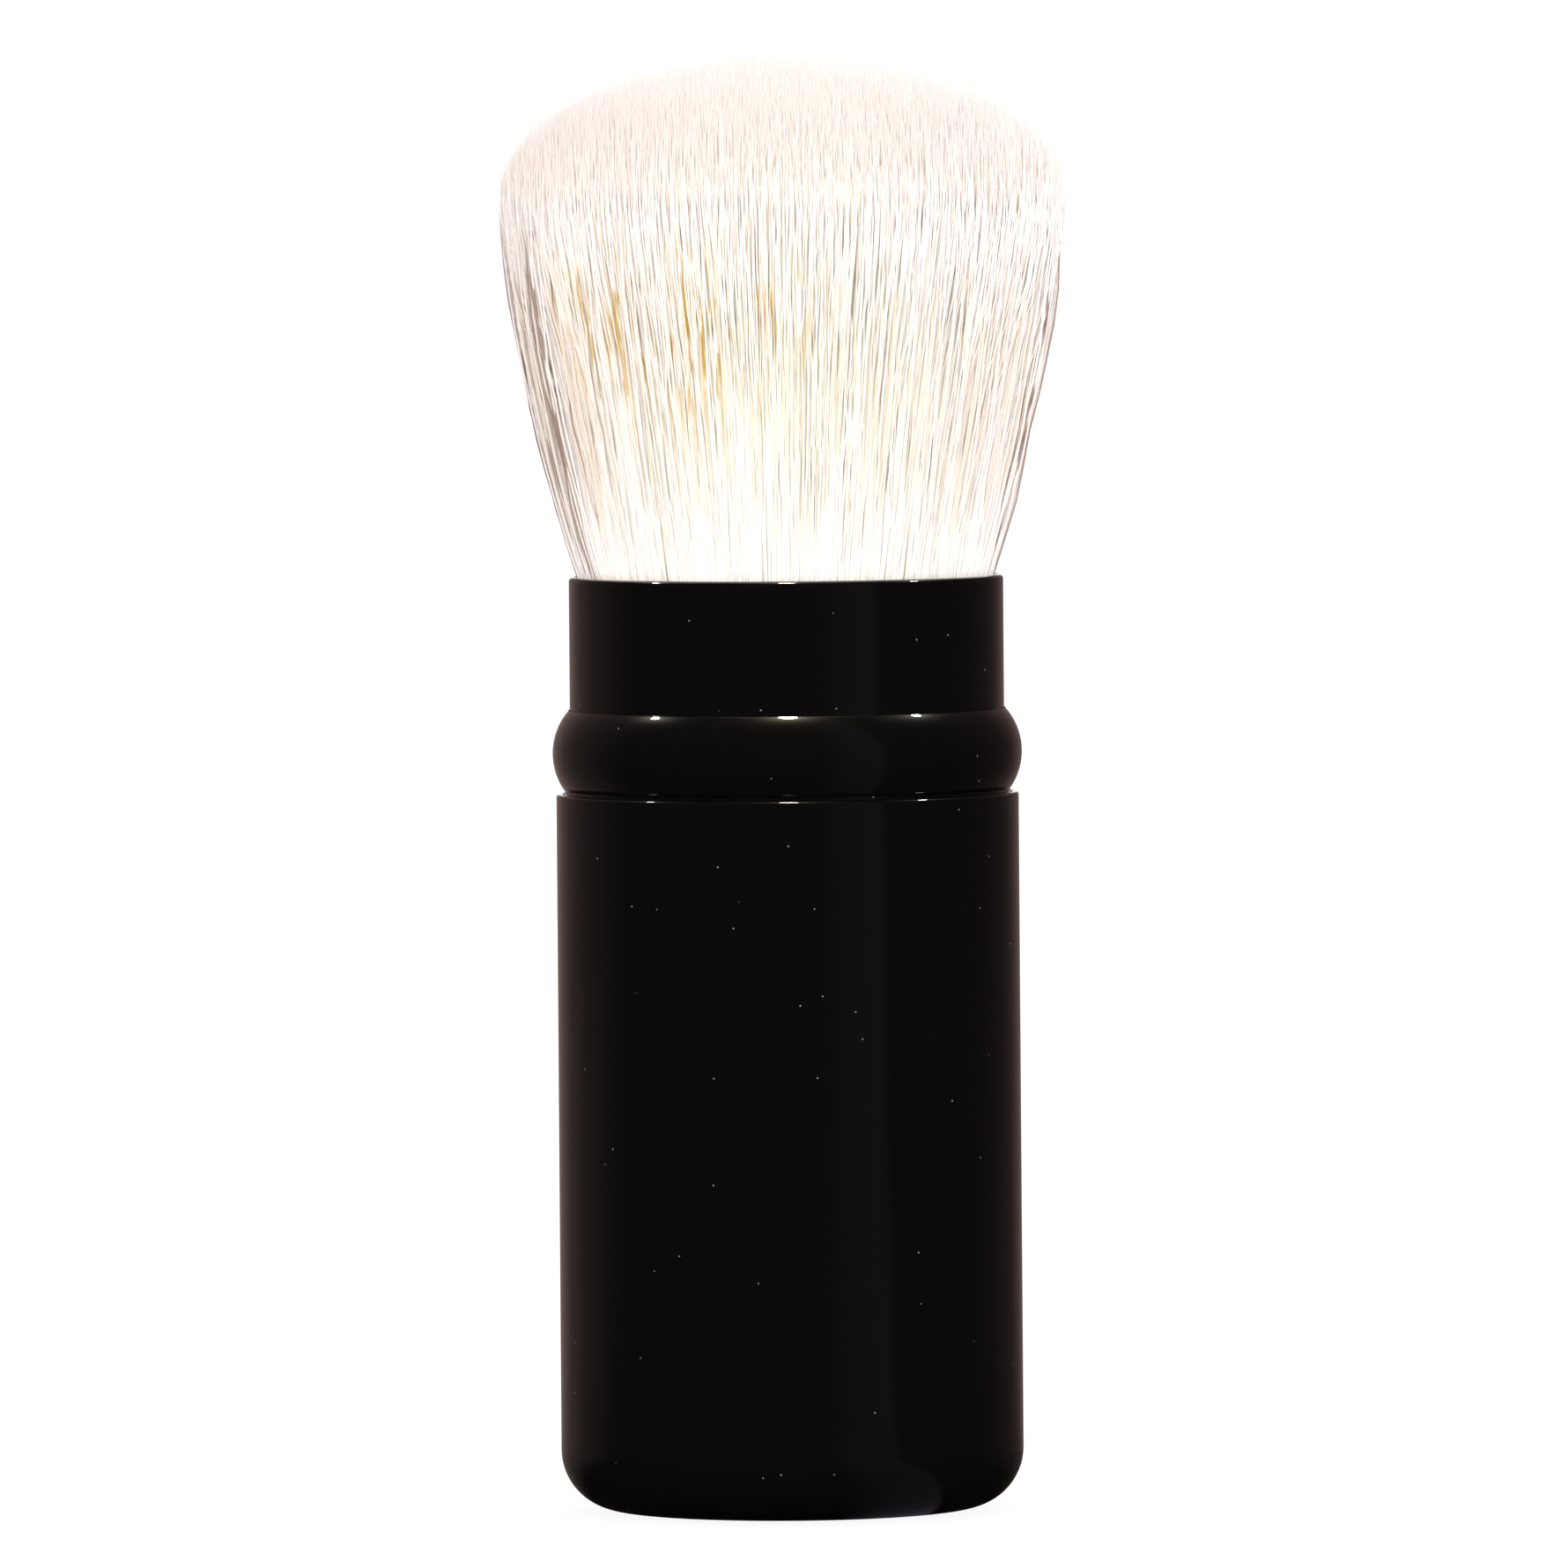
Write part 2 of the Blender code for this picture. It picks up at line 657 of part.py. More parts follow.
def ring_angles(ring):
    """Evenly spaced strands, a multiple of four in each ring, which starts a part of a step on."""
    if ring == 0:
        return [0.0]
    room = 2 * math.pi * ring * RING_FILL_SHARE
    count = RING_SYMMETRY * int(room / RING_SYMMETRY)
    return even_angles(count, 2 * math.pi / count * (ring * GOLDEN_SHARE % 1))


def grow_strand(mesh, share, angle, drop):
    """One strand: a three-sided cone from root to rim, extruded along its path and poked to a point."""
    stations, tip = strand_stations(share, drop)
    turn = Matrix.Rotation(angle, 4, "Z")
    (out, low, width), (_, high, _) = stations[:2]
    place = turn @ Matrix.Translation((out, 0, (low + high) / 2))
    made = bmesh.ops.create_cone(
        mesh,
        cap_ends=True,
        segments=STRAND_SIDES,
        radius1=width,
        radius2=width,
        depth=high - low,
        matrix=place,
    )
    top = max(
        {face for vert in made["verts"] for face in vert.link_faces},
        key=lambda face: face.calc_center_median().z,
    )
    for index, (out, height, width) in enumerate(stations[1:]):
        if index:
            top = bmesh.ops.extrude_discrete_faces(mesh, faces=[top])["faces"][0]
        fit_ring(top, turn @ Vector((out, 0, height)), width)
    apex = bmesh.ops.poke(mesh, faces=[top])["verts"][0]
    apex.co = turn @ Vector((tip[0], 0, tip[1]))
    return [(turn @ Vector((out, 0, height)), width) for out, height, width in stations]


def fit_ring(face, centre, width):
    """Moves a strand's end face so that it lies level about a point, with its corners this far out."""
    old = face.calc_center_median()
    for vert in face.verts:
        spoke = vert.co - old
        spoke.z = 0
        vert.co = centre + spoke.normalized() * width


def bristle_bundle(name, first, last, parts, cutters, materials, parent, strands):
    """A slice of the glued backing, with the strands of its first to its last ring standing in it."""
    pitch = (BACKING_RADIUS - ROOT_INSET) / (STRAND_RINGS + STRAND_FILL_SHARE)
    outer = (last + 1 / 2) * pitch - GLUE_GAP / 2
    if last == STRAND_RINGS:
        outer = BACKING_RADIUS
    if first == 0:
        pocket = SCREW_HEAD_RADIUS + RUNNING_GAP
        depth = SCREW_HEAD_HEIGHT + RUNNING_GAP
        outline = [(0, BACKING_HEIGHT), (outer, BACKING_HEIGHT), (outer, 0)]
        outline += [(pocket, 0), (pocket, depth), (0, depth)]
    else:
        inner = (first - 1 / 2) * pitch + GLUE_GAP / 2
        outline = [(outer, BACKING_HEIGHT), (outer, 0), (inner, 0), (inner, BACKING_HEIGHT)]
    backing = turned(name, outline, parts, closed=first > 0)

    mesh = bmesh.new()
    for ring in range(first, last + 1):
        angles = ring_angles(ring)
        for index, angle in enumerate(angles):
            step = index % max(1, len(angles) // RING_SYMMETRY)
            drop = TIP_SPREAD * ((step + ring) * GOLDEN_SHARE % 1)
            strands.append(grow_strand(mesh, ring / STRAND_RINGS, angle, drop))
    bmesh.ops.translate(mesh, verts=mesh.verts, vec=(0, 0, -BACKING_Z))
    bmesh.ops.recalc_face_normals(mesh, faces=mesh.faces)
    combine(backing, helper(f"{name}_strands", mesh, cutters), "UNION")
    return settle(backing, materials["hair"], parent, BACKING_Z)


def print_least_gap(strands):
    """Says how near two strands come, with each one taken as wide as the circle round its corners."""
    for level, name in enumerate(("root", "rim", "belly")):
        places = [strand[level][0] for strand in strands]
        width = strands[0][level][1]
        tree = KDTree(len(places))
        for index, place in enumerate(places):
            tree.insert(place, index)
        tree.balance()
        least = min(tree.find_n(place, 2)[1][2] for place in places)
        print(f"{len(places)} strands, least gap at the {name}: {(least - 2 * width) / MM:.2f} mm")


def build():
    clear_scene()
    parts = new_collection("retractable_makeup_brush")
    cutters = new_collection("cutters")
    materials = make_materials()
    handle = new_frame("handle_frame", parts)
    slide = new_frame("sleeve_slide_axis", parts, handle)

    base_shell(parts, materials, handle)
    base_weight(parts, materials, handle)
    bumper_ring(parts, materials, handle)
    post_screw(parts, cutters, materials, handle)
    brush_post(parts, cutters, materials, handle)
    post_cap(parts, materials, handle)
    ferrule(parts, materials, handle)
    ferrule_screw(parts, cutters, materials, handle)
    collar_ring(parts, materials, handle)
    guide_ring(parts, cutters, materials, handle)
    strands = []
    bundles = (
        ("bristle_core", 0, CORE_RINGS),
        ("bristle_middle", CORE_RINGS + 1, MIDDLE_RINGS),
        ("bristle_outer", MIDDLE_RINGS + 1, STRAND_RINGS),
    )
    for name, first, last in bundles:
        bristle_bundle(name, first, last, parts, cutters, materials, handle, strands)

    sliding_sleeve(parts, materials, slide)
    slider_bushing(parts, cutters, materials, slide)
    slider_o_ring(parts, materials, slide)

    print_least_gap(strands)
    print(f"sleeve travel {TRAVEL / MM:.2f} mm, overall height {dome_height(0) / MM:.2f} mm")


build()
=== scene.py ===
# Retractable makeup brush: a head of goat hair in a black lacquered handle, whose sleeve slides up over it.
# Metres, +Z up. The camera looks along +Y.

import math

import bpy
import numpy as np
from mathutils import Matrix, Vector


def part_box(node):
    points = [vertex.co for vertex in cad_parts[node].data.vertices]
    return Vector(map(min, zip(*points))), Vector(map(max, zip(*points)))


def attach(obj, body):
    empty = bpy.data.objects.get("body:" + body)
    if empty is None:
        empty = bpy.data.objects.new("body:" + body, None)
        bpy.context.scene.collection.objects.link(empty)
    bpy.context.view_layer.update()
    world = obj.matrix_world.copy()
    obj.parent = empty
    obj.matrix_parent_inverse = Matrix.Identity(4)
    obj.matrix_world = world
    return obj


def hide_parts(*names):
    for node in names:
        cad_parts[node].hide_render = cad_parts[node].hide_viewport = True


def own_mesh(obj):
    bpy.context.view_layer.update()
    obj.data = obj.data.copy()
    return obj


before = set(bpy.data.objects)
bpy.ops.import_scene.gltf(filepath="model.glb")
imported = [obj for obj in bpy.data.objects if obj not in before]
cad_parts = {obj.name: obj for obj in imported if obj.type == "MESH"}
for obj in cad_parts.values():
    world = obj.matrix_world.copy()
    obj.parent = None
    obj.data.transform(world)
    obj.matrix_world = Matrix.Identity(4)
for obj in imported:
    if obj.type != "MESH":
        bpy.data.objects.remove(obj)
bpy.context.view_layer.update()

mm = 0.001
fullTurn = 2 * math.pi
quarterTurn = math.pi / 2
mergeDistance = 0.0005 * mm
cornerReach = 0.01 * mm  # a vertex this near to a profile's corner is that corner
smoothAngle = math.radians(30)


# Helpers

def linearColour(hexCode):
    # an sRGB hex value such as "fbf3e6", as the linear colour that a shader wants
    parts = [int(hexCode[i:i + 2], 16) / 255 for i in (0, 2, 4)]
    return [c / 12.92 if c <= 0.04045 else ((c + 0.055) / 1.055) ** 2.4 for c in parts] + [1.0]


def addNode(tree, kind, settings=None, links=None):
    # a setting names a socket (by name or number), a property of the node, or the stops of a colour ramp
    node = tree.nodes.new(kind)
    for key, value in (settings or {}).items():
        if key == "stops":
            while len(node.color_ramp.elements) < len(value):
                node.color_ramp.elements.new(1.0)
            for element, (place, hexCode) in zip(node.color_ramp.elements, value):
                element.position, element.color = place, linearColour(hexCode)
        elif isinstance(key, int) or key in node.inputs:
            node.inputs[key].default_value = value
        else:
            setattr(node, key, value)
    for key, source in (links or {}).items():
        # a node stands for its first output
        socket = source.outputs[0] if isinstance(source, bpy.types.Node) else source
        tree.links.new(socket, node.inputs[key])
    return node


def startMaterial(name, settings):
    # a material with its Principled shader set, and its tree and Object coordinates for the patterns
    material = bpy.data.materials.new(name)
    material.use_nodes = True
    tree = material.node_tree
    shader = tree.nodes["Principled BSDF"]
    for socket, value in settings.items():
        shader.inputs[socket].default_value = value
    return material, tree, shader, addNode(tree, "ShaderNodeTexCoord").outputs["Object"]


def pickNothing():
    bpy.ops.object.select_all(action="DESELECT")


def pickVertices(piece, test):
    # selects in edit mode the vertices whose place passes the test
    bpy.ops.mesh.select_all(action="DESELECT")
    bpy.ops.object.mode_set(mode="OBJECT")
    for vertex in piece.data.vertices:
        vertex.select = test(vertex.co)
    bpy.ops.object.mode_set(mode="EDIT")


def arcPoints(centre, radius, start, end, steps):
    # points of an arc, with angles from +X towards +Z in degrees
    points = []
    for i in range(steps + 1):
        angle = math.radians(start + (end - start) * i / steps)
        points.append((centre[0] + radius * math.cos(angle), centre[1] + radius * math.sin(angle)))
    return points


def turnProfile(name, points, roundings, steps, angle=fullTurn):
    # points are (radius, height) and are drawn by extruding one vertex, corners are rounded, then it is spun,
    # and after part of a turn both ends are closed
    pickNothing()
    (radius, height), rest = points[0], points[1:]
    bpy.ops.mesh.primitive_plane_add(size=mm, location=(radius, 0, height))
    piece = bpy.context.object
    piece.name = piece.data.name = name
    bpy.ops.object.transform_apply(location=True, rotation=True, scale=True)
    bpy.ops.object.mode_set(mode="EDIT")
    bpy.context.tool_settings.mesh_select_mode = (True, False, False)
    bpy.ops.mesh.select_all(action="SELECT")
    bpy.ops.mesh.merge(type="CENTER")
    for nextRadius, nextHeight in rest:
        move = (nextRadius - radius, 0, nextHeight - height)
        bpy.ops.mesh.extrude_region_move(TRANSFORM_OT_translate={"value": move})
        radius, height = nextRadius, nextHeight
    bpy.ops.mesh.select_all(action="SELECT")
    bpy.ops.mesh.remove_doubles(threshold=mergeDistance)
    for cornerRadius, cornerHeight, size, segments in roundings:
        corner = Vector((cornerRadius, 0, cornerHeight))
        pickVertices(piece, lambda place: (place - corner).length < cornerReach)
        bpy.ops.mesh.bevel(offset=size, segments=segments, affect="VERTICES", clamp_overlap=True)
    bpy.ops.mesh.select_all(action="SELECT")
    # with no window, minus the angle turns anticlockwise
    bpy.ops.mesh.spin(steps=steps, angle=-angle, center=(0, 0, 0), axis=(0, 0, 1))
    bpy.ops.mesh.select_all(action="SELECT")
    bpy.ops.mesh.remove_doubles(threshold=mergeDistance)
    if angle < fullTurn:
        for turn in (0, angle):
            across = Vector((-math.sin(turn), math.cos(turn), 0))
            pickVertices(piece, lambda place: abs(place.dot(across)) < mergeDistance)
            bpy.ops.mesh.edge_face_add()
        bpy.ops.mesh.select_all(action="SELECT")
    bpy.ops.mesh.normals_make_consistent(inside=False)
    bpy.ops.object.mode_set(mode="OBJECT")
    bpy.ops.object.shade_smooth_by_angle(angle=smoothAngle)
    return piece


def dress(piece, material, slot, body, *nodes):
    # material, body and the CAD nodes that the piece stands for; the slot is not used
    piece.data.materials.clear()
    piece.data.materials.append(material)
    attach(piece, body)
    if nodes:
        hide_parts(*nodes)


# Camera, level with the top of the hair and rolled a little, as the photograph is

cameraView = {
    "distance": 1.37,
    "height": 0.107,
    "aimHeight": 0.0517,
    "aside": -0.25 * mm,
    "fieldWide": 111.8 * mm,
    "rollDegrees": -0.44,
    "sensor": 36.0,
    "clip": (0.01, 20.0),
}


def makeCamera(view):
    drop = view["height"] - view["aimHeight"]
    down = math.atan2(drop, view["distance"])
    roll = Matrix.Rotation(math.radians(view["rollDegrees"]), 3, "Z")
    tilt = Matrix.Rotation(quarterTurn - down, 3, "X") @ roll
    place = (view["aside"], -view["distance"], view["height"])
    pickNothing()
    bpy.ops.object.camera_add(location=place, rotation=tilt.to_euler())
    camera = bpy.context.object
    reach = math.hypot(view["distance"], drop)
    camera.data.sensor_width = view["sensor"]
    camera.data.lens = view["sensor"] * reach / view["fieldWide"]
    camera.data.clip_start, camera.data.clip_end = view["clip"]
    bpy.context.scene.camera = camera


makeCamera(cameraView)
print("camera placed")


# Materials

lacquerFinish = {
    "colour": "080606",
    "smudgeColour": "0a0809",
    "smudgeSize": 5 * mm,
    "smudgeFrom": (0.6, 0.8),  # the noise at which a finger mark starts and is full
    "roughness": (0.26, 0.38),  # clean and smudged, under the coat
    "dustCell": 1.4 * mm,
    "dustSize": 0.055 * mm,
    "dustShare": 0.7,
    "dustColour": "8c8890",
    "rippleSize": 4.0 * mm,
    "rippleDepth": 0.0005 * mm,
}


def makeBlackLacquer(finish):
    # Stoved black lacquer on drawn aluminium: a deep wet gloss that shows only lights, dust and finger marks
    material, tree, shader, place = startMaterial("blackLacquer", {
        "IOR": 1.5,
        "Specular IOR Level": 0.05,
        "Coat Weight": 1.0,
        "Coat Roughness": 0.03,
        "Coat IOR": 1.5,
    })
    # finger marks: faint cloudy patches, a little greyer and duller under the coat
    cloud = addNode(tree, "ShaderNodeTexNoise", {
        "Scale": 1 / finish["smudgeSize"], "Detail": 6.0, "Roughness": 0.6
    }, {"Vector": place})
    faint, full = finish["smudgeFrom"]
    smudge = addNode(tree, "ShaderNodeMapRange", {
        "From Min": faint, "From Max": full
    }, {"Value": cloud.outputs["Fac"]})
    clean = addNode(tree, "ShaderNodeMix", {
        "data_type": "RGBA", 6: linearColour(finish["colour"]), 7: linearColour(finish["smudgeColour"])
    }, {0: smudge})
    low, high = finish["roughness"]
    dull = addNode(tree, "ShaderNodeMapRange", {"To Min": low, "To Max": high}, {"Value": smudge})
    tree.links.new(dull.outputs[0], shader.inputs["Roughness"])
    # dust: a speck where a point of a 3-D cell pattern lies on the surface, left out of some cells
    cells = addNode(tree, "ShaderNodeTexVoronoi", {"Scale": 1 / finish["dustCell"]}, {"Vector": place})
    near = addNode(tree, "ShaderNodeMath", {
        "operation": "LESS_THAN", 1: finish["dustSize"] / finish["dustCell"]
    }, {0: cells.outputs["Distance"]})
    lot = addNode(tree, "ShaderNodeSeparateColor", links={"Color": cells.outputs["Color"]})
    chosen = addNode(tree, "ShaderNodeMath", {"operation": "LESS_THAN", 1: finish["dustShare"]}, {0: lot})
    dust = addNode(tree, "ShaderNodeMath", {"operation": "MULTIPLY"}, {0: near, 1: chosen})
    dusty = addNode(tree, "ShaderNodeMix", {
        "data_type": "RGBA", 7: linearColour(finish["dustColour"])
    }, {0: dust, 6: clean.outputs[2]})
    tree.links.new(dusty.outputs[2], shader.inputs["Base Color"])
    # the lacquer's own flow, which bends reflections very slightly
    flow = addNode(tree, "ShaderNodeTexNoise", {
        "Scale": 1 / finish["rippleSize"], "Detail": 1.0
    }, {"Vector": place})
    bump = addNode(tree, "ShaderNodeBump", {
        "Distance": finish["rippleDepth"]
    }, {"Height": flow.outputs["Fac"]})
    tree.links.new(bump.outputs[0], shader.inputs["Normal"])
    return material


hairFinish = {
    # painted shade: the colour darkens and warms with a hair's depth into the head
    "depthShadeColours": ((0.0, "ffffff"), (0.045, "fffefa"), (0.1, "fff9ee"), (0.18, "fff2de"), (1.0, "e8cc98")),
    # painted light and shade: cream in the middle of the head, pink towards the flanks and the top
    "creamColour": "fffdf8",
    "creamMiddle": (0.0, 0.0, 83.0 * mm),
    "creamReach": (13.0 * mm, 40.0 * mm, 22.0 * mm),
    "creamEdge": (1.2, 0.4),  # shares of that reach at which the cream starts and is full
    "pinkColour": "fff9f7",
    "tipColour": "fff8f5",
    # honey dashes: partly the hairs' own tone, partly painted shade of the warm gaps between strands
    "honeyColour": "d6b450",
    "honeyMiddle": (-8.0 * mm, -17.0 * mm, 88.5 * mm),
    "honeyReach": (13.0 * mm, 6.5 * mm),  # how far from there the patch starts and is full
    "honeyElsewhere": 0.2,
    "honeyTones": (0.78, 0.82),  # hairs of higher tones get honey dashes, partly their own tone and partly painted shade
    "honeyShadeByDepth": 0.9,  # and a deep hair's tone counts as this much higher, for painted shade deeper in the head
    # grey-brown: painted shade of strands in shade
    "greyColour": "a08a82",
    "greyTones": (0.10, 0.07),  # hairs of lower tones get grey-brown dashes of painted shade
    "steadyTones": (0.05, 0.04),  # and these all along
    "steadyShare": 0.9,
    "dashLength": 3.0 * mm,
    "dashEdge": (0.44, 0.56),
    "dashesApart": 900.0,  # how far apart in the noise two hairs' dashes are
    "paleFrom": 0.8,
    "tipShare": 0.8,
    "dullest": 0.98,  # the colour of the dullest hair, as a share of the brightest
    "dullTones": (0.1, 0.8),  # the tones of these two
    # how strongly honey and grey-brown show, from root to tip
    "toneAlong": ((0.0, "404040"), (0.2, "c0c0c0"), (0.35, "ffffff"), (0.75, "ffffff"), (0.95, "000000")),
}


def makeGoatHair(finish):
    # White goat hair: pale and faintly glossy, with painted shade that makes it warmer and darker with depth
    # into the head, where less light reaches it; grey-brown dashes of painted shade and honey dashes, partly
    # tone and partly painted shade, on some hairs
    material, tree, shader, place = startMaterial("goatHair", {
        "Roughness": 0.5,
        "IOR": 1.55,
        "Specular IOR Level": 0.3,
    })
    depth, tone, rise = (
        addNode(tree, "ShaderNodeAttribute", {"attribute_name": name}).outputs["Fac"]
        for name in ("hairDepth", "hairTone", "hairRise")
    )
    # painted shade: warmer and darker the deeper the hair
    depthShade = addNode(tree, "ShaderNodeValToRGB", {"stops": finish["depthShadeColours"]}, {"Fac": depth})
    # painted light and shade: creamier about the middle of the head, pinker and a little darker towards the
    # flanks and the top
    fromCream = addNode(tree, "ShaderNodeVectorMath", {
        "operation": "SUBTRACT", 1: finish["creamMiddle"]
    }, {0: place})
    creamShare = addNode(tree, "ShaderNodeVectorMath", {
        "operation": "DIVIDE", 1: finish["creamReach"]
    }, {0: fromCream})
    creamPlace = addNode(tree, "ShaderNodeVectorMath", {"operation": "LENGTH"}, {0: creamShare})
    faint, full = finish["creamEdge"]
    creamy = addNode(tree, "ShaderNodeMapRange", {
        "From Min": faint, "From Max": full
    }, {"Value": creamPlace.outputs["Value"]})
    paintedTint = addNode(tree, "ShaderNodeMix", {
        "data_type": "RGBA", 6: linearColour(finish["pinkColour"]), 7: linearColour(finish["creamColour"])
    }, {0: creamy})
    ground = addNode(tree, "ShaderNodeMix", {
        "data_type": "RGBA", "blend_type": "MULTIPLY", 0: 1.0
    }, {6: depthShade, 7: paintedTint.outputs[2]})
    # dashes: noise that runs along the hairs' height and starts anew on each hair
    height = addNode(tree, "ShaderNodeSeparateXYZ", links={"Vector": place}).outputs["Z"]
    along = addNode(tree, "ShaderNodeMath", {"operation": "DIVIDE", 1: finish["dashLength"]}, {0: height})
    apart = addNode(tree, "ShaderNodeMath", {"operation": "MULTIPLY", 1: finish["dashesApart"]}, {0: tone})
    lane = addNode(tree, "ShaderNodeCombineXYZ", links={"X": apart, "Z": along})
    dashes = addNode(tree, "ShaderNodeTexNoise", {"Scale": 1.0, "Detail": 1.0}, {"Vector": lane})
    faint, full = finish["dashEdge"]
    dash = addNode(tree, "ShaderNodeMapRange", {
        "From Min": faint, "From Max": full
    }, {"Value": dashes.outputs["Fac"]})
    fade = addNode(tree, "ShaderNodeValToRGB", {"stops": finish["toneAlong"]}, {"Fac": rise})
    shown = addNode(tree, "ShaderNodeMath", {"operation": "MULTIPLY"}, {0: dash, 1: fade})
    # honey: partly the hairs' own tone and partly painted shade of the gaps between strands, on the highest
    # tones and deep hairs, most of all in one patch in front
    deeper = addNode(tree, "ShaderNodeMath", {
        "operation": "MULTIPLY_ADD", 1: finish["honeyShadeByDepth"]
    }, {0: depth, 2: tone})
    faint, full = finish["honeyTones"]
    honeyShadeHairs = addNode(tree, "ShaderNodeMapRange", {"From Min": faint, "From Max": full}, {"Value": deeper})
    fromHoney = addNode(tree, "ShaderNodeVectorMath", {
        "operation": "DISTANCE", 1: finish["honeyMiddle"]
    }, {0: place})
    faint, full = finish["honeyReach"]
    inPatch = addNode(tree, "ShaderNodeMapRange", {
        "From Min": faint, "From Max": full, "To Min": finish["honeyElsewhere"]
    }, {"Value": fromHoney.outputs["Value"]})
    chosen = addNode(tree, "ShaderNodeMath", {"operation": "MULTIPLY"}, {0: honeyShadeHairs, 1: inPatch})
    honey = addNode(tree, "ShaderNodeMath", {"operation": "MULTIPLY"}, {0: chosen, 1: shown})
    warm = addNode(tree, "ShaderNodeMix", {
        "data_type": "RGBA", "blend_type": "MULTIPLY", 7: linearColour(finish["honeyColour"])
    }, {0: honey, 6: ground.outputs[2]})
    # grey-brown: painted shade of strands in shade, on the lowest tones
    faint, full = finish["greyTones"]
    greyShadeHairs = addNode(tree, "ShaderNodeMapRange", {"From Min": faint, "From Max": full}, {"Value": tone})
    faint, full = finish["steadyTones"]
    steady = addNode(tree, "ShaderNodeMapRange", {
        "From Min": full, "From Max": faint, "To Min": finish["steadyShare"], "To Max": 0.0
    }, {"Value": tone})
    length = addNode(tree, "ShaderNodeMath", {"operation": "MAXIMUM"}, {0: steady, 1: shown})
    grey = addNode(tree, "ShaderNodeMath", {"operation": "MULTIPLY"}, {0: greyShadeHairs, 1: length})
    dusky = addNode(tree, "ShaderNodeMix", {
        "data_type": "RGBA", "blend_type": "MULTIPLY", 7: linearColour(finish["greyColour"])
    }, {0: grey, 6: warm.outputs[2]})
    pale = addNode(tree, "ShaderNodeMapRange", {
        "From Min": finish["paleFrom"], "From Max": 1.0, "To Max": finish["tipShare"]
    }, {"Value": rise})
    tipped = addNode(tree, "ShaderNodeMix", {
        "data_type": "RGBA", 7: linearColour(finish["tipColour"])
    }, {0: pale, 6: dusky.outputs[2]})
    # no two hairs are quite alike
    start, end = finish["dullTones"]
    alike = addNode(tree, "ShaderNodeMapRange", {
        "From Min": start, "From Max": end, "To Min": finish["dullest"]
    }, {"Value": tone})
    varied = addNode(tree, "ShaderNodeVectorMath", {
        "operation": "SCALE"
    }, {0: tipped.outputs[2], "Scale": alike})
    tree.links.new(varied.outputs[0], shader.inputs["Base Color"])
    return material


# Materials of the hidden pieces: one noise each, with colour, roughness and bump taken from it

innerMaterials = {
    # Clear epoxy poured round the roots: amber and smooth, with a few ripples
    "rootGlue": {
        "shader": {"IOR": 1.56},
        "grain": 1.2 * mm, "colours": ("b48a4c", "8a6532"),
        "roughness": (0.25, 0.4), "relief": 0.03 * mm,
    },
    # Deep-drawn aluminium: bright, with faint lines along the pull of the die
    "drawnAluminium": {
        "shader": {"Metallic": 1.0},
        "grain": 0.12 * mm, "stretch": (1, 1, 0.03), "colours": ("d2d3d6", "e6e6e8"),
        "roughness": (0.2, 0.32), "relief": 0.002 * mm,
    },
    # Zinc-plated steel: a grey metal with a soft crystalline bloom
    "zincPlatedSteel": {
        "shader": {"Metallic": 1.0},
        "grain": 0.5 * mm, "colours": ("b2b4b8", "c8c9cb"),
        "roughness": (0.26, 0.4), "relief": 0.003 * mm,
    },
    # Natural moulded acetal: off-white and waxy, with the fine matt of a spark-eroded mould
    "mouldedAcetal": {
        "shader": {"IOR": 1.48},
        "grain": 0.1 * mm, "colours": ("dedbd2", "eae8e0"),
        "roughness": (0.38, 0.48), "relief": 0.006 * mm,
    },
    # Natural nylon band: milky, with the cut lines of the strip it was slit from
    "nylonBand": {
        "shader": {"IOR": 1.53},
        "grain": 0.15 * mm, "stretch": (0.1, 0.1, 1), "colours": ("d4d1c6", "e2e0d8"),
        "roughness": (0.45, 0.55), "relief": 0.004 * mm,
    },
    # Nitrile rubber: black and dull, with a bloom of assembly grease
    "nitrileRubber": {
        "shader": {"IOR": 1.52},
        "grain": 0.7 * mm, "colours": ("191919", "262626"),
        "roughness": (0.4, 0.7), "relief": 0.003 * mm,
    },
    # Pressed wool felt: matted grey fibre
    "pressedFelt": {
        "shader": {"Sheen Weight": 0.4},
        "grain": 0.08 * mm, "stretch": (1, 1, 0.5), "colours": ("4c4d50", "6b6c70"),
        "roughness": (0.9, 1.0), "relief": 0.04 * mm,
    },
}
innerNoise = {"colours": (0.32, 0.68), "roughness": (0.3, 0.7)}  # the noise at which each reaches its ends


def makeInnerMaterial(name, look):
    material, tree, shader, place = startMaterial(name, look["shader"])
    turned = addNode(tree, "ShaderNodeMapping", {"Scale": look.get("stretch", (1, 1, 1))}, {"Vector": place})
    grain = addNode(tree, "ShaderNodeTexNoise", {
        "Scale": 1 / look["grain"], "Detail": 4.0
    }, {"Vector": turned})
    colour = addNode(tree, "ShaderNodeValToRGB", {
        "stops": tuple(zip(innerNoise["colours"], look["colours"]))
    }, {"Fac": grain.outputs["Fac"]})
    (start, end), (low, high) = innerNoise["roughness"], look["roughness"]
    rough = addNode(tree, "ShaderNodeMapRange", {
        "From Min": start, "From Max": end, "To Min": low, "To Max": high
    }, {"Value": grain.outputs["Fac"]})
    bump = addNode(tree, "ShaderNodeBump", {"Distance": look["relief"]}, {"Height": grain.outputs["Fac"]})
    for output, socket in ((colour, "Base Color"), (rough, "Roughness"), (bump, "Normal")):
        tree.links.new(output.outputs[0], shader.inputs[socket])
    return material


blackLacquer = makeBlackLacquer(lacquerFinish)
goatHair = makeGoatHair(hairFinish)
inner = {name: makeInnerMaterial(name, look) for name, look in innerMaterials.items()}
print("materials made")


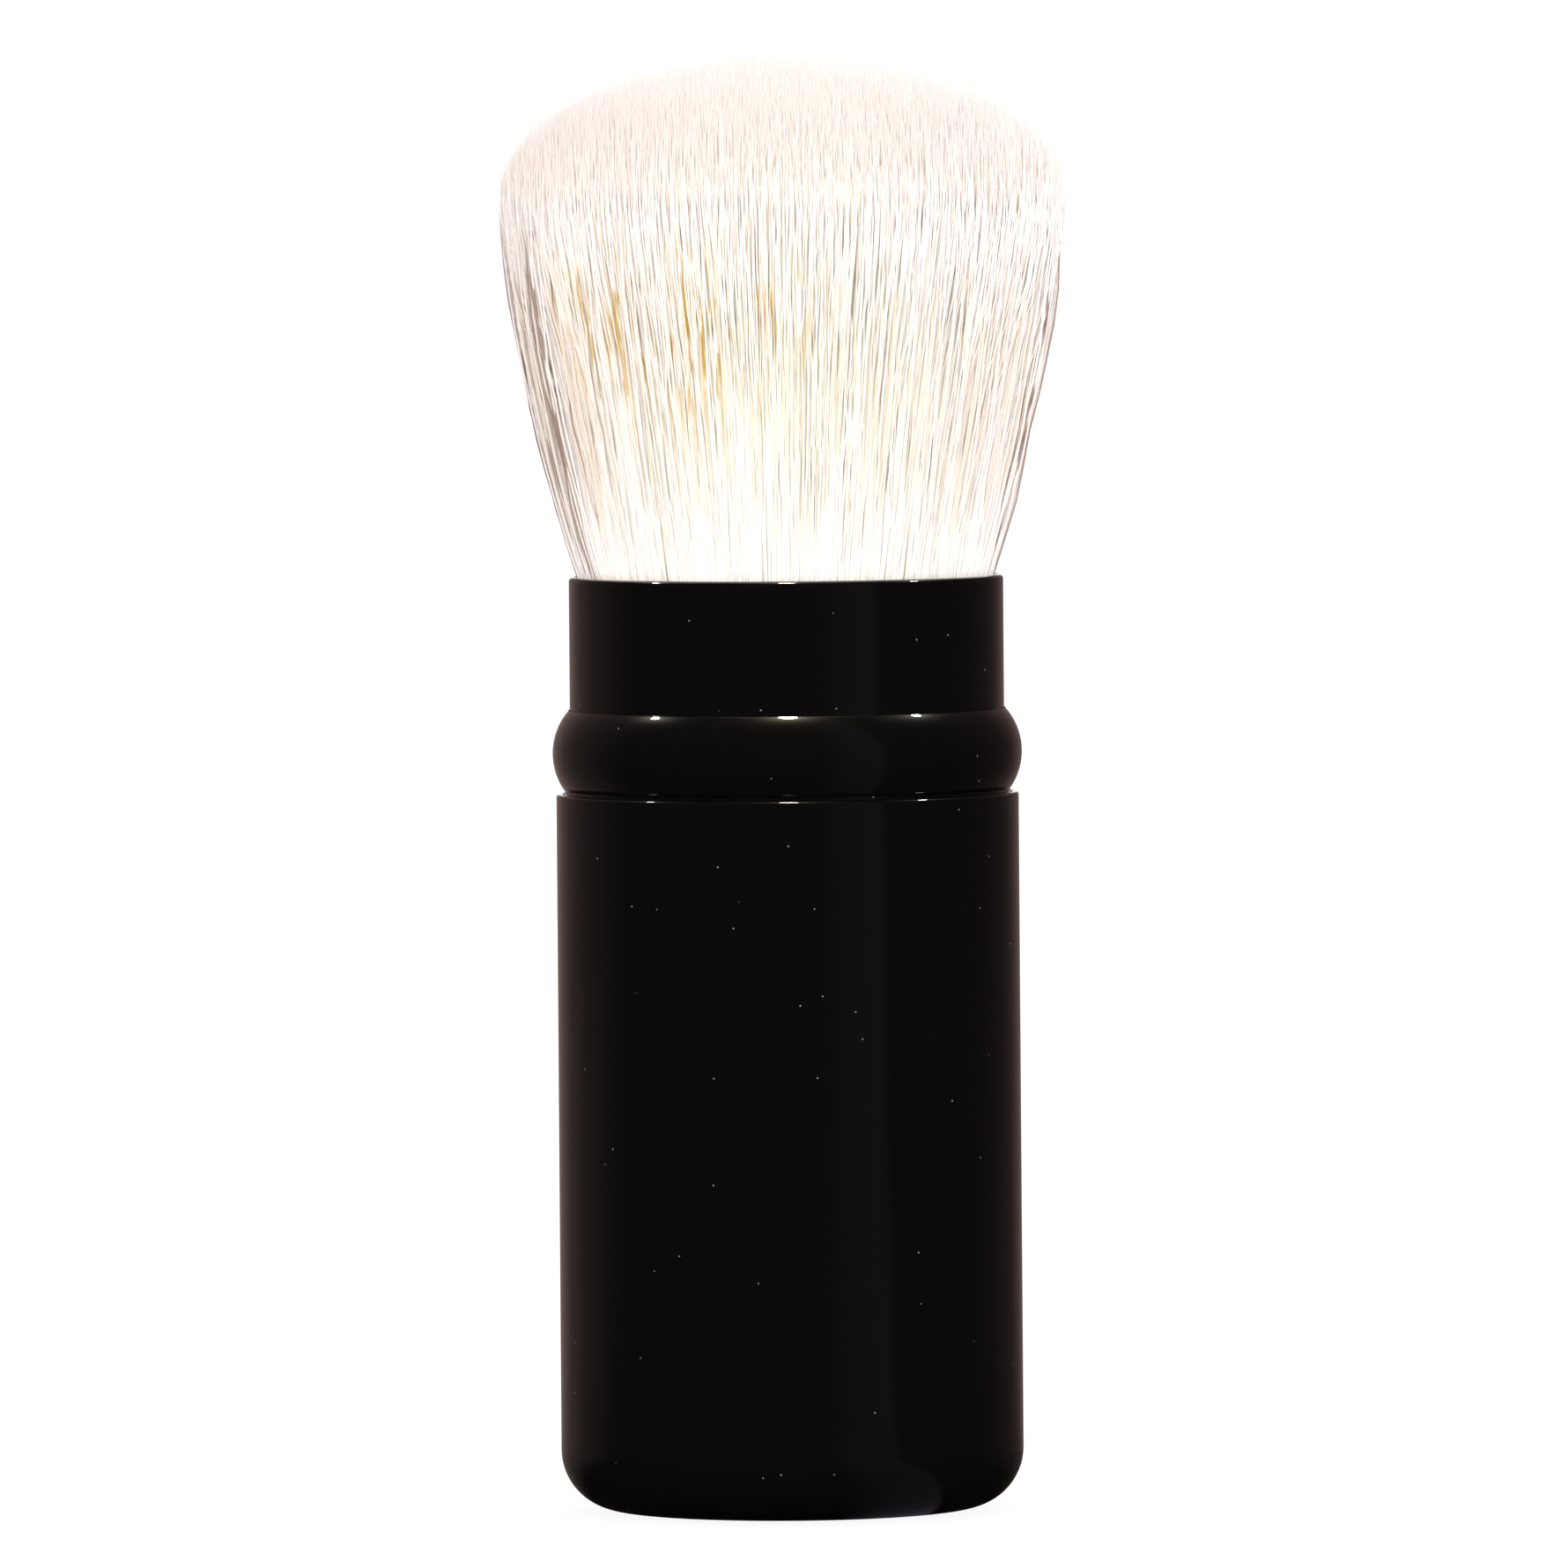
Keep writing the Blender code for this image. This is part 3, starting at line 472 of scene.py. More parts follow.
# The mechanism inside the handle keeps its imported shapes

innerFinishes = {
    "base_weight": "zincPlatedSteel",
    "post_screw": "zincPlatedSteel",
    "ferrule_screw": "zincPlatedSteel",
    "ferrule": "drawnAluminium",
    "brush_post": "mouldedAcetal",
    "post_cap": "mouldedAcetal",
    "slider_bushing": "mouldedAcetal",
    "guide_ring": "nylonBand",
    "slider_o_ring": "nitrileRubber",
    "bumper_ring": "pressedFelt",
}

for nodeName, innerMaterial in innerFinishes.items():
    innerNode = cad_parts[nodeName]
    innerNode.data.materials.clear()
    innerNode.data.materials.append(inner[innerMaterial])
print("mechanism finished")


# Handle: shell, collar and sleeve, spun from their profiles

turnedPart = {"steps": 192, "rimSegments": 6}

shellShape = {
    "wall": 0.5 * mm,
    "floor": 0.8 * mm,
    "footRadius": 4.3 * mm,
    "footSegments": 28,
    "rimRounding": 0.24 * mm,
    "lipRise": 0.22 * mm,
    "hold": 0.5 * mm,
}


def makeShell(shape):
    low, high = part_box("base_shell")
    radius, top = high.x, high.z + shape["lipRise"]
    bore, floor, foot = radius - shape["wall"], low.z + shape["floor"], shape["footRadius"]
    hold = shape["hold"]
    points = [
        (0, low.z), ((radius - foot) / 2, low.z), (radius - foot - hold, low.z), (radius, low.z),
        (radius, low.z + foot + hold), (radius, top / 2), (radius, top - hold), (radius, top),
        (bore, top), (bore, top - hold), (bore, floor), (0, floor),
    ]
    rim = shape["rimRounding"]
    roundings = [
        (radius, low.z, foot, shape["footSegments"]),
        (radius, top, rim, turnedPart["rimSegments"]),
        (bore, top, rim, turnedPart["rimSegments"]),
        (bore, floor, foot - shape["wall"], shape["footSegments"] // 2),
    ]
    shell = turnProfile("lacquerShell", points, roundings, turnedPart["steps"])
    dress(shell, blackLacquer, "lacquer", "handle", "base_shell")


collarShape = {
    "skirtRadius": 15.9 * mm,
    "bore": 15.6 * mm,
    "beadMiddle": 54.0 * mm,
    "crestArc": 4.7 * mm,
    "upperHalf": 3.03 * mm,
    "lowerHalf": 2.58 * mm,
    "upperFillet": 0.12 * mm,
    "lowerFillet": 0.14 * mm,
    "grooveHalf": 1.35 * mm,
    "grooveDepth": 0.6 * mm,
    "arcSteps": 22,
    "filletSteps": 8,
}


def makeCollar(shape):
    low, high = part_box("collar_ring")
    crest, arc, middle = high.x, shape["crestArc"], shape["beadMiddle"]
    upperEdge = math.degrees(math.asin(shape["upperHalf"] / arc))
    lowerEdge = math.degrees(math.asin(shape["lowerHalf"] / arc))
    centre = (crest - arc, middle)

    def fillet(radius, start, end):
        # carries the crest's arc round to lie level, on a smaller radius
        side = math.radians(start if abs(start) < 90 else end)
        place = (centre[0] + (arc - radius) * math.cos(side), centre[1] + (arc - radius) * math.sin(side))
        return arcPoints(place, radius, start, end, shape["filletSteps"])

    bore, groove = shape["bore"], shape["bore"] + shape["grooveDepth"]
    points = [(bore, low.z), (shape["skirtRadius"], low.z)]
    lower = fillet(shape["lowerFillet"], -90, -lowerEdge)
    points.append((shape["skirtRadius"], lower[0][1]))
    points += [point for point in lower if point[0] > shape["skirtRadius"]]
    points += arcPoints(centre, arc, -lowerEdge, upperEdge, shape["arcSteps"])[1:-1]
    upper = fillet(shape["upperFillet"], upperEdge, 90)
    points += [point for point in upper if point[0] > bore]
    top = upper[-1][1]
    above, below = middle + shape["grooveHalf"], middle - shape["grooveHalf"]
    points += [(bore, top), (bore, above), (groove, above), (groove, below), (bore, below), (bore, low.z)]
    collar = turnProfile("lacquerCollar", points, [], turnedPart["steps"])
    dress(collar, blackLacquer, "lacquer", "handle", "collar_ring")


sleeveShape = {
    "wall": 0.45 * mm,
    "rimRounding": 0.34 * mm,
    "innerRounding": 0.08 * mm,
    "innerSegments": 2,
    "hold": 0.5 * mm,
}


def makeSleeve(shape):
    low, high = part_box("sliding_sleeve")
    radius, top, hold = high.x, high.z, shape["hold"]
    bore, rim = radius - shape["wall"], shape["rimRounding"]
    points = [
        (bore, low.z), (radius, low.z), (radius, low.z + hold), (radius, (low.z + top) / 2),
        (radius, top - hold), (radius, top), (bore, top), (bore, top - hold), (bore, low.z),
    ]
    roundings = [
        (radius, top, rim, turnedPart["rimSegments"]),
        (bore, top, shape["innerRounding"], shape["innerSegments"]),
        (radius, low.z, rim / 2, shape["innerSegments"]),
    ]
    sleeve = turnProfile("lacquerSleeve", points, roundings, turnedPart["steps"])
    dress(sleeve, blackLacquer, "lacquer", "sleeve", "sliding_sleeve")


makeShell(shellShape)
makeCollar(collarShape)
makeSleeve(sleeveShape)
print("handle turned")


# Hair head

headShape = {
    "sleeveTop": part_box("sliding_sleeve")[1].z,
    "rimRadius": 14.95 * mm,
    "rimBulge": 0.55,
    "rootRadius": 13.85 * mm,
    "widest": 20.3 * mm,
    "rise": 26.8 * mm,
    "flare": 5.25 * mm,
    "flarePower": 1.55,
    "domeHeight": 10.3 * mm,
    "backingHeight": 4.8 * mm,
    "rootSunk": 0.7 * mm,
    "rimGap": 0.1 * mm,
}
headShape["equator"] = headShape["sleeveTop"] + headShape["rise"]
headShape["backingTop"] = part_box("bristle_core")[0].z + headShape["backingHeight"]
headShape["root"] = headShape["backingTop"] - headShape["rootSunk"]
headShape["foot"] = headShape["sleeveTop"] + headShape["rimGap"]  # where the hair comes out of the sleeve

hairCounts = {
    "sectors": 12,
    "inner": 24000,
    "middle": 13000,
    "outer": 18000,
    "fringe": 420,
}

# how each zone lies, in shares of the head's radius, how far it is drawn in at mid height, its share of
# grey-brown hairs of painted shade, in all and on the left and right flank, and the lowest tone of these
plainZone = {"inset": 0.06, "wildness": 1.0, "dark": 0.0, "steady": 0.05}
hairZones = {
    "inner": {"segments": 2, "from": 0.0, "to": 0.72},
    "middle": {"segments": 3, "from": 0.72, "to": 0.88, "dark": 0.005},
    "outer": {"segments": 12, "from": 0.88, "to": 0.99, "dark": 0.006},
    "fringe": {
        # painted shade: more grey-brown hairs on the left and right flanks
        "segments": 12, "from": 0.94, "to": 1.0, "dark": 0.02, "flankShadeShare": (0.38, 0.22),
        "inset": 0.0, "wildness": 1.8, "steady": 0.015,
    },
}

hairForm = {
    "seed": 11,
    "sides": 3,
    "thickness": 0.075 * mm,
    "thicknessVary": (0.8, 1.2),
    "scatterJitter": 0.35,
    "lockSpacing": 0.44 * mm,
    "lockRows": 0.866,  # between two rows of the grid, as a share of the spacing
    "lockJitter": 0.42,
    "lockPull": 0.12,
    "lockPower": 0.75,  # under 1, the pull is strongest low on the hair
    "lockLoosens": 0.3,  # how much weaker the pull is at the tip
    "lockWave": 0.07 * mm,
    "lockWaveLength": 13 * mm,
    "ownWave": 0.06 * mm,
    "ownWaveLength": 7 * mm,
    "ownWaveVary": (0.7, 1.5),
    "waveFrom": 0.25,  # the share of a hair's height by which its waves are full
    "insetTo": 0.9,
    "lean": 0.25 * mm,
    "freeShare": 0.985,  # every hair may go this share of the way to the head's outline
    "strayOut": 0.1 * mm,
    "taperFrom": 0.93,
    "tipTaper": (1.0, 0.86, 0.5),
    "tipSpread": 0.4 * mm,
    "tipLift": 0.3 * mm,
    "longestDrop": 4.5,
    "shoulderFrom": 0.8,  # shares of the head's radius
    "shoulderWide": 0.2,
    "shoulderSpread": 2.0 * mm,
    "shoulderLift": 0.9 * mm,
    "edgeFrom": 0.85,
    "edgeWide": 0.15,
    "edgeDrop": 0.7 * mm,
    "flank": 0.84,
    "lowestTone": 0.1,
    "greyBand": 0.04,
    # how deep a hair lies, for the painted shade of its colour
    "depthScale": 7 * mm,
    "depthFromTop": 0.45,
    "mapSpare": 1.12,
    "squeeze": 0.70,
}


def guideRadius(height):
    # the head's outer radius at each height, from the backing to the widest level and on up
    shape = headShape
    inSleeve = (height - shape["backingTop"]) / (shape["sleeveTop"] - shape["backingTop"])
    below = shape["rootRadius"] + (shape["rimRadius"] - shape["rootRadius"]) * np.clip(inSleeve, 0, 1)
    down = np.clip((shape["equator"] - height) / shape["rise"], 0, 1)
    above = shape["widest"] - shape["flare"] * down ** shape["flarePower"]
    overRim = shape["rimRadius"] + shape["rimBulge"] * (height - shape["sleeveTop"])
    return np.where(height < shape["sleeveTop"], below, np.minimum(above, overRim))


def domeTop(radius):
    share = np.clip(radius / headShape["widest"], 0, 1)
    return headShape["equator"] + headShape["domeHeight"] * np.sqrt(1 - share ** 2)


def modelHair(segments):
    # one hair: a small triangle extruded upwards segment by segment, its last ring merged to a tip
    pickNothing()
    sides = hairForm["sides"]
    bpy.ops.mesh.primitive_circle_add(vertices=sides, radius=1, fill_type="NGON", location=(0, 0, 0))
    hair = bpy.context.object
    bpy.ops.object.mode_set(mode="EDIT")
    bpy.ops.mesh.select_all(action="SELECT")
    for _ in range(segments):
        bpy.ops.mesh.extrude_region_move(TRANSFORM_OT_translate={"value": (0, 0, 1)})
    bpy.ops.mesh.merge(type="CENTER")
    bpy.ops.mesh.select_all(action="SELECT")
    bpy.ops.mesh.normals_make_consistent(inside=False)
    bpy.ops.object.mode_set(mode="OBJECT")
    vertices = np.array([vertex.co for vertex in hair.data.vertices])
    faces = [list(face.vertices) for face in hair.data.polygons]
    bpy.data.objects.remove(hair)
    return {"ring": np.rint(vertices[:, 2]).astype(int), "spoke": vertices[:, :2], "faces": faces}


def copyHairs(model, centres, widths, values, firstCell, cellsWide):
    # copies of the model hair along centre lines: (vertices, corners, face starts, attributes, map places)
    count = len(centres)
    along = np.gradient(centres, axis=1)
    along /= np.linalg.norm(along, axis=2, keepdims=True)
    side = np.cross(along, np.array([0.31, 0.95, 0.05]))  # a direction that no hair runs in
    side /= np.linalg.norm(side, axis=2, keepdims=True)
    other = np.cross(along, side)
    ring, spoke = model["ring"], model["spoke"]
    spread = widths[:, ring, None] * (side[:, ring] * spoke[:, :1] + other[:, ring] * spoke[:, 1:])
    vertices = (centres[:, ring] + spread).reshape(-1, 3)
    sizes = [len(face) for face in model["faces"]]
    flat = np.concatenate(model["faces"])
    corners = (flat[None, :] + len(ring) * np.arange(count)[:, None]).ravel()
    starts = np.cumsum([0] + sizes[:-1])
    starts = (starts[None, :] + len(flat) * np.arange(count)[:, None]).ravel()
    attributes = {name: value[:, ring].ravel() for name, value in values.items()}
    # each hair has a cell of its own on the piece's map: across is round the hair, and up is along it
    marginAcross, marginUp = 0.1, 0.05
    sides = hairForm["sides"]
    angle = np.rint(np.arctan2(spoke[:, 1], spoke[:, 0]) / fullTurn * sides) % sides
    onRing = np.linalg.norm(spoke, axis=1) > 0.5  # all but the tip, whose spoke has no length
    across, up = [], []
    for face in model["faces"]:
        turns = [angle[i] for i in face if onRing[i]]
        wraps = max(turns) - min(turns) > sides / 2 and len(turns) <= sides
        for i in face:
            place = angle[i] if onRing[i] else np.mean(turns)
            across.append(((place or sides) if wraps else place) / sides)
            up.append(ring[i] / ring.max())
    cells = firstCell + np.arange(count)
    mapX = (cells % cellsWide)[:, None] + marginAcross + (1 - 2 * marginAcross) * np.array(across)[None, :]
    mapY = (cells // cellsWide)[:, None] + marginUp + (1 - 2 * marginUp) * np.array(up)[None, :]
    places = np.stack([mapX, mapY], 2).reshape(-1, 2) / cellsWide
    return vertices, corners, starts, attributes, places


def joinHairs(name, batches):
    # one mesh from several batches of copied hairs
    mesh = bpy.data.meshes.new(name)
    vertexOffset = np.cumsum([0] + [len(batch[0]) for batch in batches])
    cornerOffset = np.cumsum([0] + [len(batch[1]) for batch in batches])
    vertices = np.concatenate([batch[0] for batch in batches])
    corners = np.concatenate([batch[1] + start for batch, start in zip(batches, vertexOffset)])
    starts = np.concatenate([batch[2] + start for batch, start in zip(batches, cornerOffset)])
    mesh.vertices.add(len(vertices))
    mesh.vertices.foreach_set("co", vertices.astype(np.float32).ravel())
    mesh.loops.add(len(corners))
    mesh.loops.foreach_set("vertex_index", corners.astype(np.int32))
    mesh.polygons.add(len(starts))
    mesh.polygons.foreach_set("loop_start", starts.astype(np.int32))
    mesh.polygons.foreach_set("use_smooth", np.zeros(len(starts), bool))
    for key in batches[0][3]:
        attribute = mesh.attributes.new(key, "FLOAT", "POINT")
        value = np.concatenate([batch[3][key] for batch in batches])
        attribute.data.foreach_set("value", value.astype(np.float32))
    hairMap = mesh.uv_layers.new(name="OFBake")
    places = np.concatenate([batch[4] for batch in batches])
    hairMap.data.foreach_set("uv", places.astype(np.float32).ravel())
    mesh.update(calc_edges=True)
    mesh.validate()
    piece = bpy.data.objects.new(name, mesh)
    bpy.context.scene.collection.objects.link(piece)
    return piece


def scatter(rng, count, inner, outer):
    # even by area between two shares of the head's radius: shares and angles, on a jittered sunflower spiral
    golden = math.pi * (3 - math.sqrt(5))
    index = np.arange(count) + rng.uniform(0, 1, count)
    shares = np.sqrt(inner ** 2 + (outer ** 2 - inner ** 2) * index / count)
    jitter = rng.normal(0, hairForm["scatterJitter"] / math.sqrt(count), count) * fullTurn
    return shares, (np.arange(count) * golden + jitter) % fullTurn


def makeLocks(rng):
    # centres of the locks that hairs gather in, on a jittered triangular grid seen at the widest level
    pitch, rowShare = hairForm["lockSpacing"], hairForm["lockRows"]
    reach = headShape["widest"] + pitch
    rows = int(reach / (pitch * rowShare)) + 1
    columns = int(reach / pitch) + 1
    row, column = np.meshgrid(np.arange(-rows, rows + 1), np.arange(-columns, columns + 1))
    x = (column + 0.5 * (row % 2)) * pitch
    y = row * pitch * rowShare
    places = np.stack([x.ravel(), y.ravel()], 1)
    places += rng.uniform(-hairForm["lockJitter"], hairForm["lockJitter"], places.shape) * pitch
    places = places[np.hypot(places[:, 0], places[:, 1]) < reach]
    wave = rng.normal(0, 1, (len(places), 2))
    phase = rng.uniform(0, fullTurn, (len(places), 2))
    # two spare draws, which the draws for the hairs come after
    rng.uniform(0, 1, len(places))
    rng.normal(0, 1, len(places))
    return {"place": places, "wave": wave, "phase": phase}


def nearestLock(places, locks):
    # some thousands of hairs at a time, to save memory
    nearest, atOnce = np.empty(len(places), int), 4000
    for start in range(0, len(places), atOnce):
        part = places[start:start + atOnce]
        gaps = ((part[:, None, :] - locks["place"][None, :, :]) ** 2).sum(2)
        nearest[start:start + atOnce] = gaps.argmin(1)
    return nearest


def layHairs(rng, locks, shares, angles, zone):
    # centre lines, widths and attributes of hairs with these shares of the head's radius and these angles
    count, segments = len(shares), zone["segments"]
    shape, form = headShape, hairForm
    direction = np.stack([np.cos(angles), np.sin(angles)], 1)
    tangent = np.stack([-np.sin(angles), np.cos(angles)], 1)
    atWidest = direction * (shares * shape["widest"])[:, None]
    lock = nearestLock(atWidest, locks)
    # tips end about the dome, and those of the outer hairs vary most, which softens the shoulder
    shoulder = np.clip((shares - form["shoulderFrom"]) / form["shoulderWide"], 0, 1)
    spread = form["tipSpread"] + form["shoulderSpread"] * shoulder
    drop = spread * np.minimum(rng.exponential(1, count), form["longestDrop"])
    drop = drop - form["tipLift"] - form["shoulderLift"] * shoulder
    drop += form["edgeDrop"] * np.clip((shares - form["edgeFrom"]) / form["edgeWide"], 0, 1)
    tipHeight = domeTop(shares * shape["widest"]) - drop
    # the root, then evenly from the sleeve's rim to where the tip tapers, then the tip
    shaft = np.linspace(0, 1, segments - 1) if segments > 2 else np.ones(1)
    steps = np.append(shaft * form["taperFrom"], 1)
    length = (tipHeight - shape["foot"])[:, None]
    heights = shape["foot"] + length * steps[None, :]
    heights = np.concatenate([np.full((count, 1), shape["root"]), heights], 1)
    rise = np.clip((heights - shape["foot"]) / length, 0, 1)
    drawnIn = zone["inset"] * np.sin(math.pi * np.clip(rise / form["insetTo"], 0, 1))
    out = guideRadius(heights) * (1 - drawnIn)
    centres = direction[:, None, :] * (shares[:, None] * out)[:, :, None]

    # each hair is drawn towards its lock, and waves with it and on its own
    gather = form["lockPull"] * np.sin(math.pi * rise ** form["lockPower"]) * (1 - form["lockLoosens"] * rise)
    pull = (locks["place"][lock] - atWidest)[:, None, :] * (gather * out / shape["widest"])[:, :, None]
    ease = np.clip(rise / form["waveFrom"], 0, 1)
    lockWave = np.zeros_like(pull)
    ownWave = np.zeros_like(pull)
    ownPhase = rng.uniform(0, fullTurn, (count, 2))
    ownLength = form["ownWaveLength"] * rng.uniform(*form["ownWaveVary"], count)
    for axis in range(2):
        turns = heights / form["lockWaveLength"] * fullTurn + locks["phase"][lock, axis][:, None]
        lockWave[:, :, axis] = locks["wave"][lock, axis][:, None] * np.sin(turns)
        turns = heights / ownLength[:, None] * fullTurn + ownPhase[:, axis][:, None]
        ownWave[:, :, axis] = np.sin(turns)
    size = rng.normal(0, 1, count)
    pull += lockWave * (form["lockWave"] * ease)[:, :, None]
    pull += ownWave * (form["ownWave"] * size[:, None] * ease)[:, :, None]
    lean = rng.normal(0, form["lean"] * zone["wildness"], (count, 1)) * rise
    pull += tangent[:, None, :] * lean[:, :, None]
    centres += pull

    # nothing stands further out than the head's outline, and inside the sleeve nothing touches its wall
    radius = np.hypot(centres[:, :, 0], centres[:, :, 1])
    allowed = np.maximum(shares, form["freeShare"])[:, None] * out + np.where(rise > 0, form["strayOut"], 0)
    centres *= np.minimum(1, allowed / np.maximum(radius, 1e-9))[:, :, None]
    centres = np.concatenate([centres, heights[:, :, None]], 2)

    taper = np.ones(segments + 1)
    taper[-3:] = form["tipTaper"]
    widths = form["thickness"] * rng.uniform(*form["thicknessVary"], (count, 1)) * taper[None, :]
    # painted shade: a hair's depth below the head's outline and the dome, which the material turns into
    # warmer, darker colour
    fromSide = out - np.hypot(centres[:, :, 0], centres[:, :, 1])
    fromTop = (domeTop(shares * shape["widest"])[:, None] - heights) * form["depthFromTop"]
    depth = np.clip(np.minimum(fromSide, fromTop) / form["depthScale"], 0, 1)
    tone = rng.uniform(0, 1, count)
    # painted shade: the two flanks, left and right, get more of the grey-brown hairs than the rest, for the
    # shade there
    across = np.cos(angles)
    flanks = [across < -form["flank"], across > form["flank"]]
    share = np.select(flanks, zone.get("flankShadeShare", (zone["dark"],) * 2), zone["dark"])
    dark = rng.uniform(0, 1, count) < share
    lowest = form["lowestTone"]
    tone = np.where(dark, zone["steady"] + tone * form["greyBand"], lowest + (1 - lowest) * tone)
    values = {"hairDepth": depth, "hairTone": np.repeat(tone[:, None], segments + 1, 1), "hairRise": rise}
    return centres, widths, values


def dressHair(piece):
    # a sector of the head, with its material and body, the bristle nodes hidden, and a mesh of its own
    dress(piece, goatHair, "hair", "handle", "bristle_core", "bristle_middle", "bristle_outer")
    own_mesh(piece)


def makeHead(counts, form):
    rng = np.random.default_rng(form["seed"])
    locks = makeLocks(rng)
    sectors = [[] for _ in range(counts["sectors"])]
    used = [0] * counts["sectors"]
    total = sum(counts[name] for name in hairZones)
    cellsWide = math.ceil(math.sqrt(form["mapSpare"] * total / counts["sectors"]))
    for name, own in hairZones.items():
        zone = {**plainZone, **own}
        model = modelHair(zone["segments"])
        shares, angles = scatter(rng, counts[name], zone["from"], zone["to"])
        centres, widths, values = layHairs(rng, locks, shares, angles, zone)
        sector = (angles / fullTurn * counts["sectors"]).astype(int) % counts["sectors"]
        for number in range(counts["sectors"]):
            here = sector == number
            part = {key: value[here] for key, value in values.items()}
            batch = copyHairs(model, centres[here], widths[here], part, used[number], cellsWide)
            sectors[number].append(batch)
            used[number] += int(here.sum())
        print("hair zone", name, counts[name])
    for number, batches in enumerate(sectors):
        piece = joinHairs(f"hairSector{number + 1:02d}", batches)
        dressHair(piece)


# The closed mass of hair under the loose ones, which light and eye don't pass

underHair = {
    "share": 0.958,
    "inset": 0.06,
    "edgeBelow": 0.93,
    "topBelow": 0.965,
    "sideRows": 16,
    "domeRows": 12,
    "columns": 88,
    "edgePower": 4,
    # painted shade: the depth for which the under-hair's colour is warmed and darkened, full low down and
    # least near the top
    "depth": 0.17,
    "paleFrom": 0.8,
    "paleOver": 0.2,
    "palest": 0.25,
}


def makeUnderHair(look, counts, form):
    # one sector is spun from its profile, and the others are turned copies, each with strands of its own tones
    shape = headShape
    first, bottom = shape["foot"], shape["root"]
    side = [(look["share"], rise) for rise in np.linspace(0, look["edgeBelow"], look["sideRows"])]
    dome = []
    for share in np.linspace(look["share"], 0, look["domeRows"] + 1)[1:]:
        nearEdge = (share / look["share"]) ** look["edgePower"]
        dome.append((share, look["topBelow"] + (look["edgeBelow"] - look["topBelow"]) * nearEdge))
    points = [(0, bottom), (look["share"] * shape["rootRadius"], bottom)]
    for share, rise in side + dome:
        height = first + (float(domeTop(share * shape["widest"])) - first) * rise
        inset = look["inset"] * math.sin(math.pi * min(rise / form["insetTo"], 1))
        points.append((share * float(guideRadius(height)) * (1 - inset), height))
    points[-1] = (0, points[-1][1])
    points.append(points[0])
    sectorTurn = fullTurn / counts["sectors"]
    wedge = turnProfile("hairUnder01", points, [], look["columns"], sectorTurn)
    rng = np.random.default_rng(form["seed"] + 1)
    for number in range(counts["sectors"]):
        piece = wedge
        if number:
            mesh = wedge.data.copy()
            piece = bpy.data.objects.new(f"hairUnder{number + 1:02d}", mesh)
            mesh.name = piece.name
            bpy.context.scene.collection.objects.link(piece)
            mesh.transform(Matrix.Rotation(number * sectorTurn, 4, "Z"))
        places = np.array([vertex.co for vertex in piece.data.vertices])
        turned = (np.arctan2(places[:, 1], places[:, 0]) - number * sectorTurn) % fullTurn
        column = np.rint(turned / sectorTurn * look["columns"]).astype(int) % (look["columns"] + 1)
        rise = np.clip((places[:, 2] - first) / (points[-2][1] - first), 0, 1)
        # painted shade: deepest low down, least towards the top
        deep = np.clip((look["paleFrom"] - rise) / look["paleOver"], look["palest"], 1)
        values = {
            "hairDepth": look["depth"] * deep,
            "hairTone": rng.uniform(form["lowestTone"], 1.0, look["columns"] + 1)[column],
            "hairRise": rise,
        }
        for key, value in values.items():
            attribute = piece.data.attributes.get(key) or piece.data.attributes.new(key, "FLOAT", "POINT")
            attribute.data.foreach_set("value", value.astype(np.float32))
        dressHair(piece)


backingShape = {
    "pastRoots": 0.25 * mm,
    "screwHead": 2.9 * mm,
    "screwRoom": 1.6 * mm,
    "rounding": 0.4 * mm,
    "roundSegments": 5,
    "steps": 96,
}


def makeBacking(shape):
    # the plug of glue that holds the roots, in the ferrule
    radius = headShape["rootRadius"] + shape["pastRoots"]
    bottom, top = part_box("bristle_outer")[0].z, headShape["backingTop"]
    hollowTop = bottom + shape["screwRoom"]
    screwHead = shape["screwHead"]
    points = [(0, hollowTop), (screwHead, hollowTop), (screwHead, bottom)]
    points += [(radius, bottom), (radius, top), (0, top)]
    roundings = [(radius, top, shape["rounding"], shape["roundSegments"])]
    backing = turnProfile("hairBacking", points, roundings, shape["steps"])
    dress(backing, inner["rootGlue"], "hair", "handle", "bristle_core", "bristle_middle", "bristle_outer")


makeHead(hairCounts, hairForm)
makeUnderHair(underHair, hairCounts, hairForm)
makeBacking(backingShape)
print("hair head grown")


# Floor, lamps and surroundings

studio = {
    "floorSize": 8.0,
    "floorHeight": -0.2 * mm,
    "floorGlow": (0.92, 1.0),  # its own white near the brush, where it takes the shadow, and further off
    "floorFade": (0.06, 0.30),
    "floorShade": 0.11,
    "floorBounce": 0.75,  # what it sends back to the brush, as a white sweep does
    "fill": 1.11,
    "fillLean": (-0.01, -0.46, -0.25),  # more light from the front, less from above
    # what the gloss shows all round, by degrees from straight in front of the brush, left to right
    "horizon": (
        (-180, "ffffff"), (-175, "ffffff"), (-172, "8c7670"), (-140, "63544f"), (-112, "48403c"),
        (-88, "120f0f"), (0, "080708"), (16, "0a090c"), (30, "3a3640"), (47, "45404c"), (50, "0c0b0d"),
        (88, "100e0e"), (112, "2a2422"), (140, "433835"), (172, "7c6864"), (175, "ffffff"), (180, "ffffff"),
    ),
}


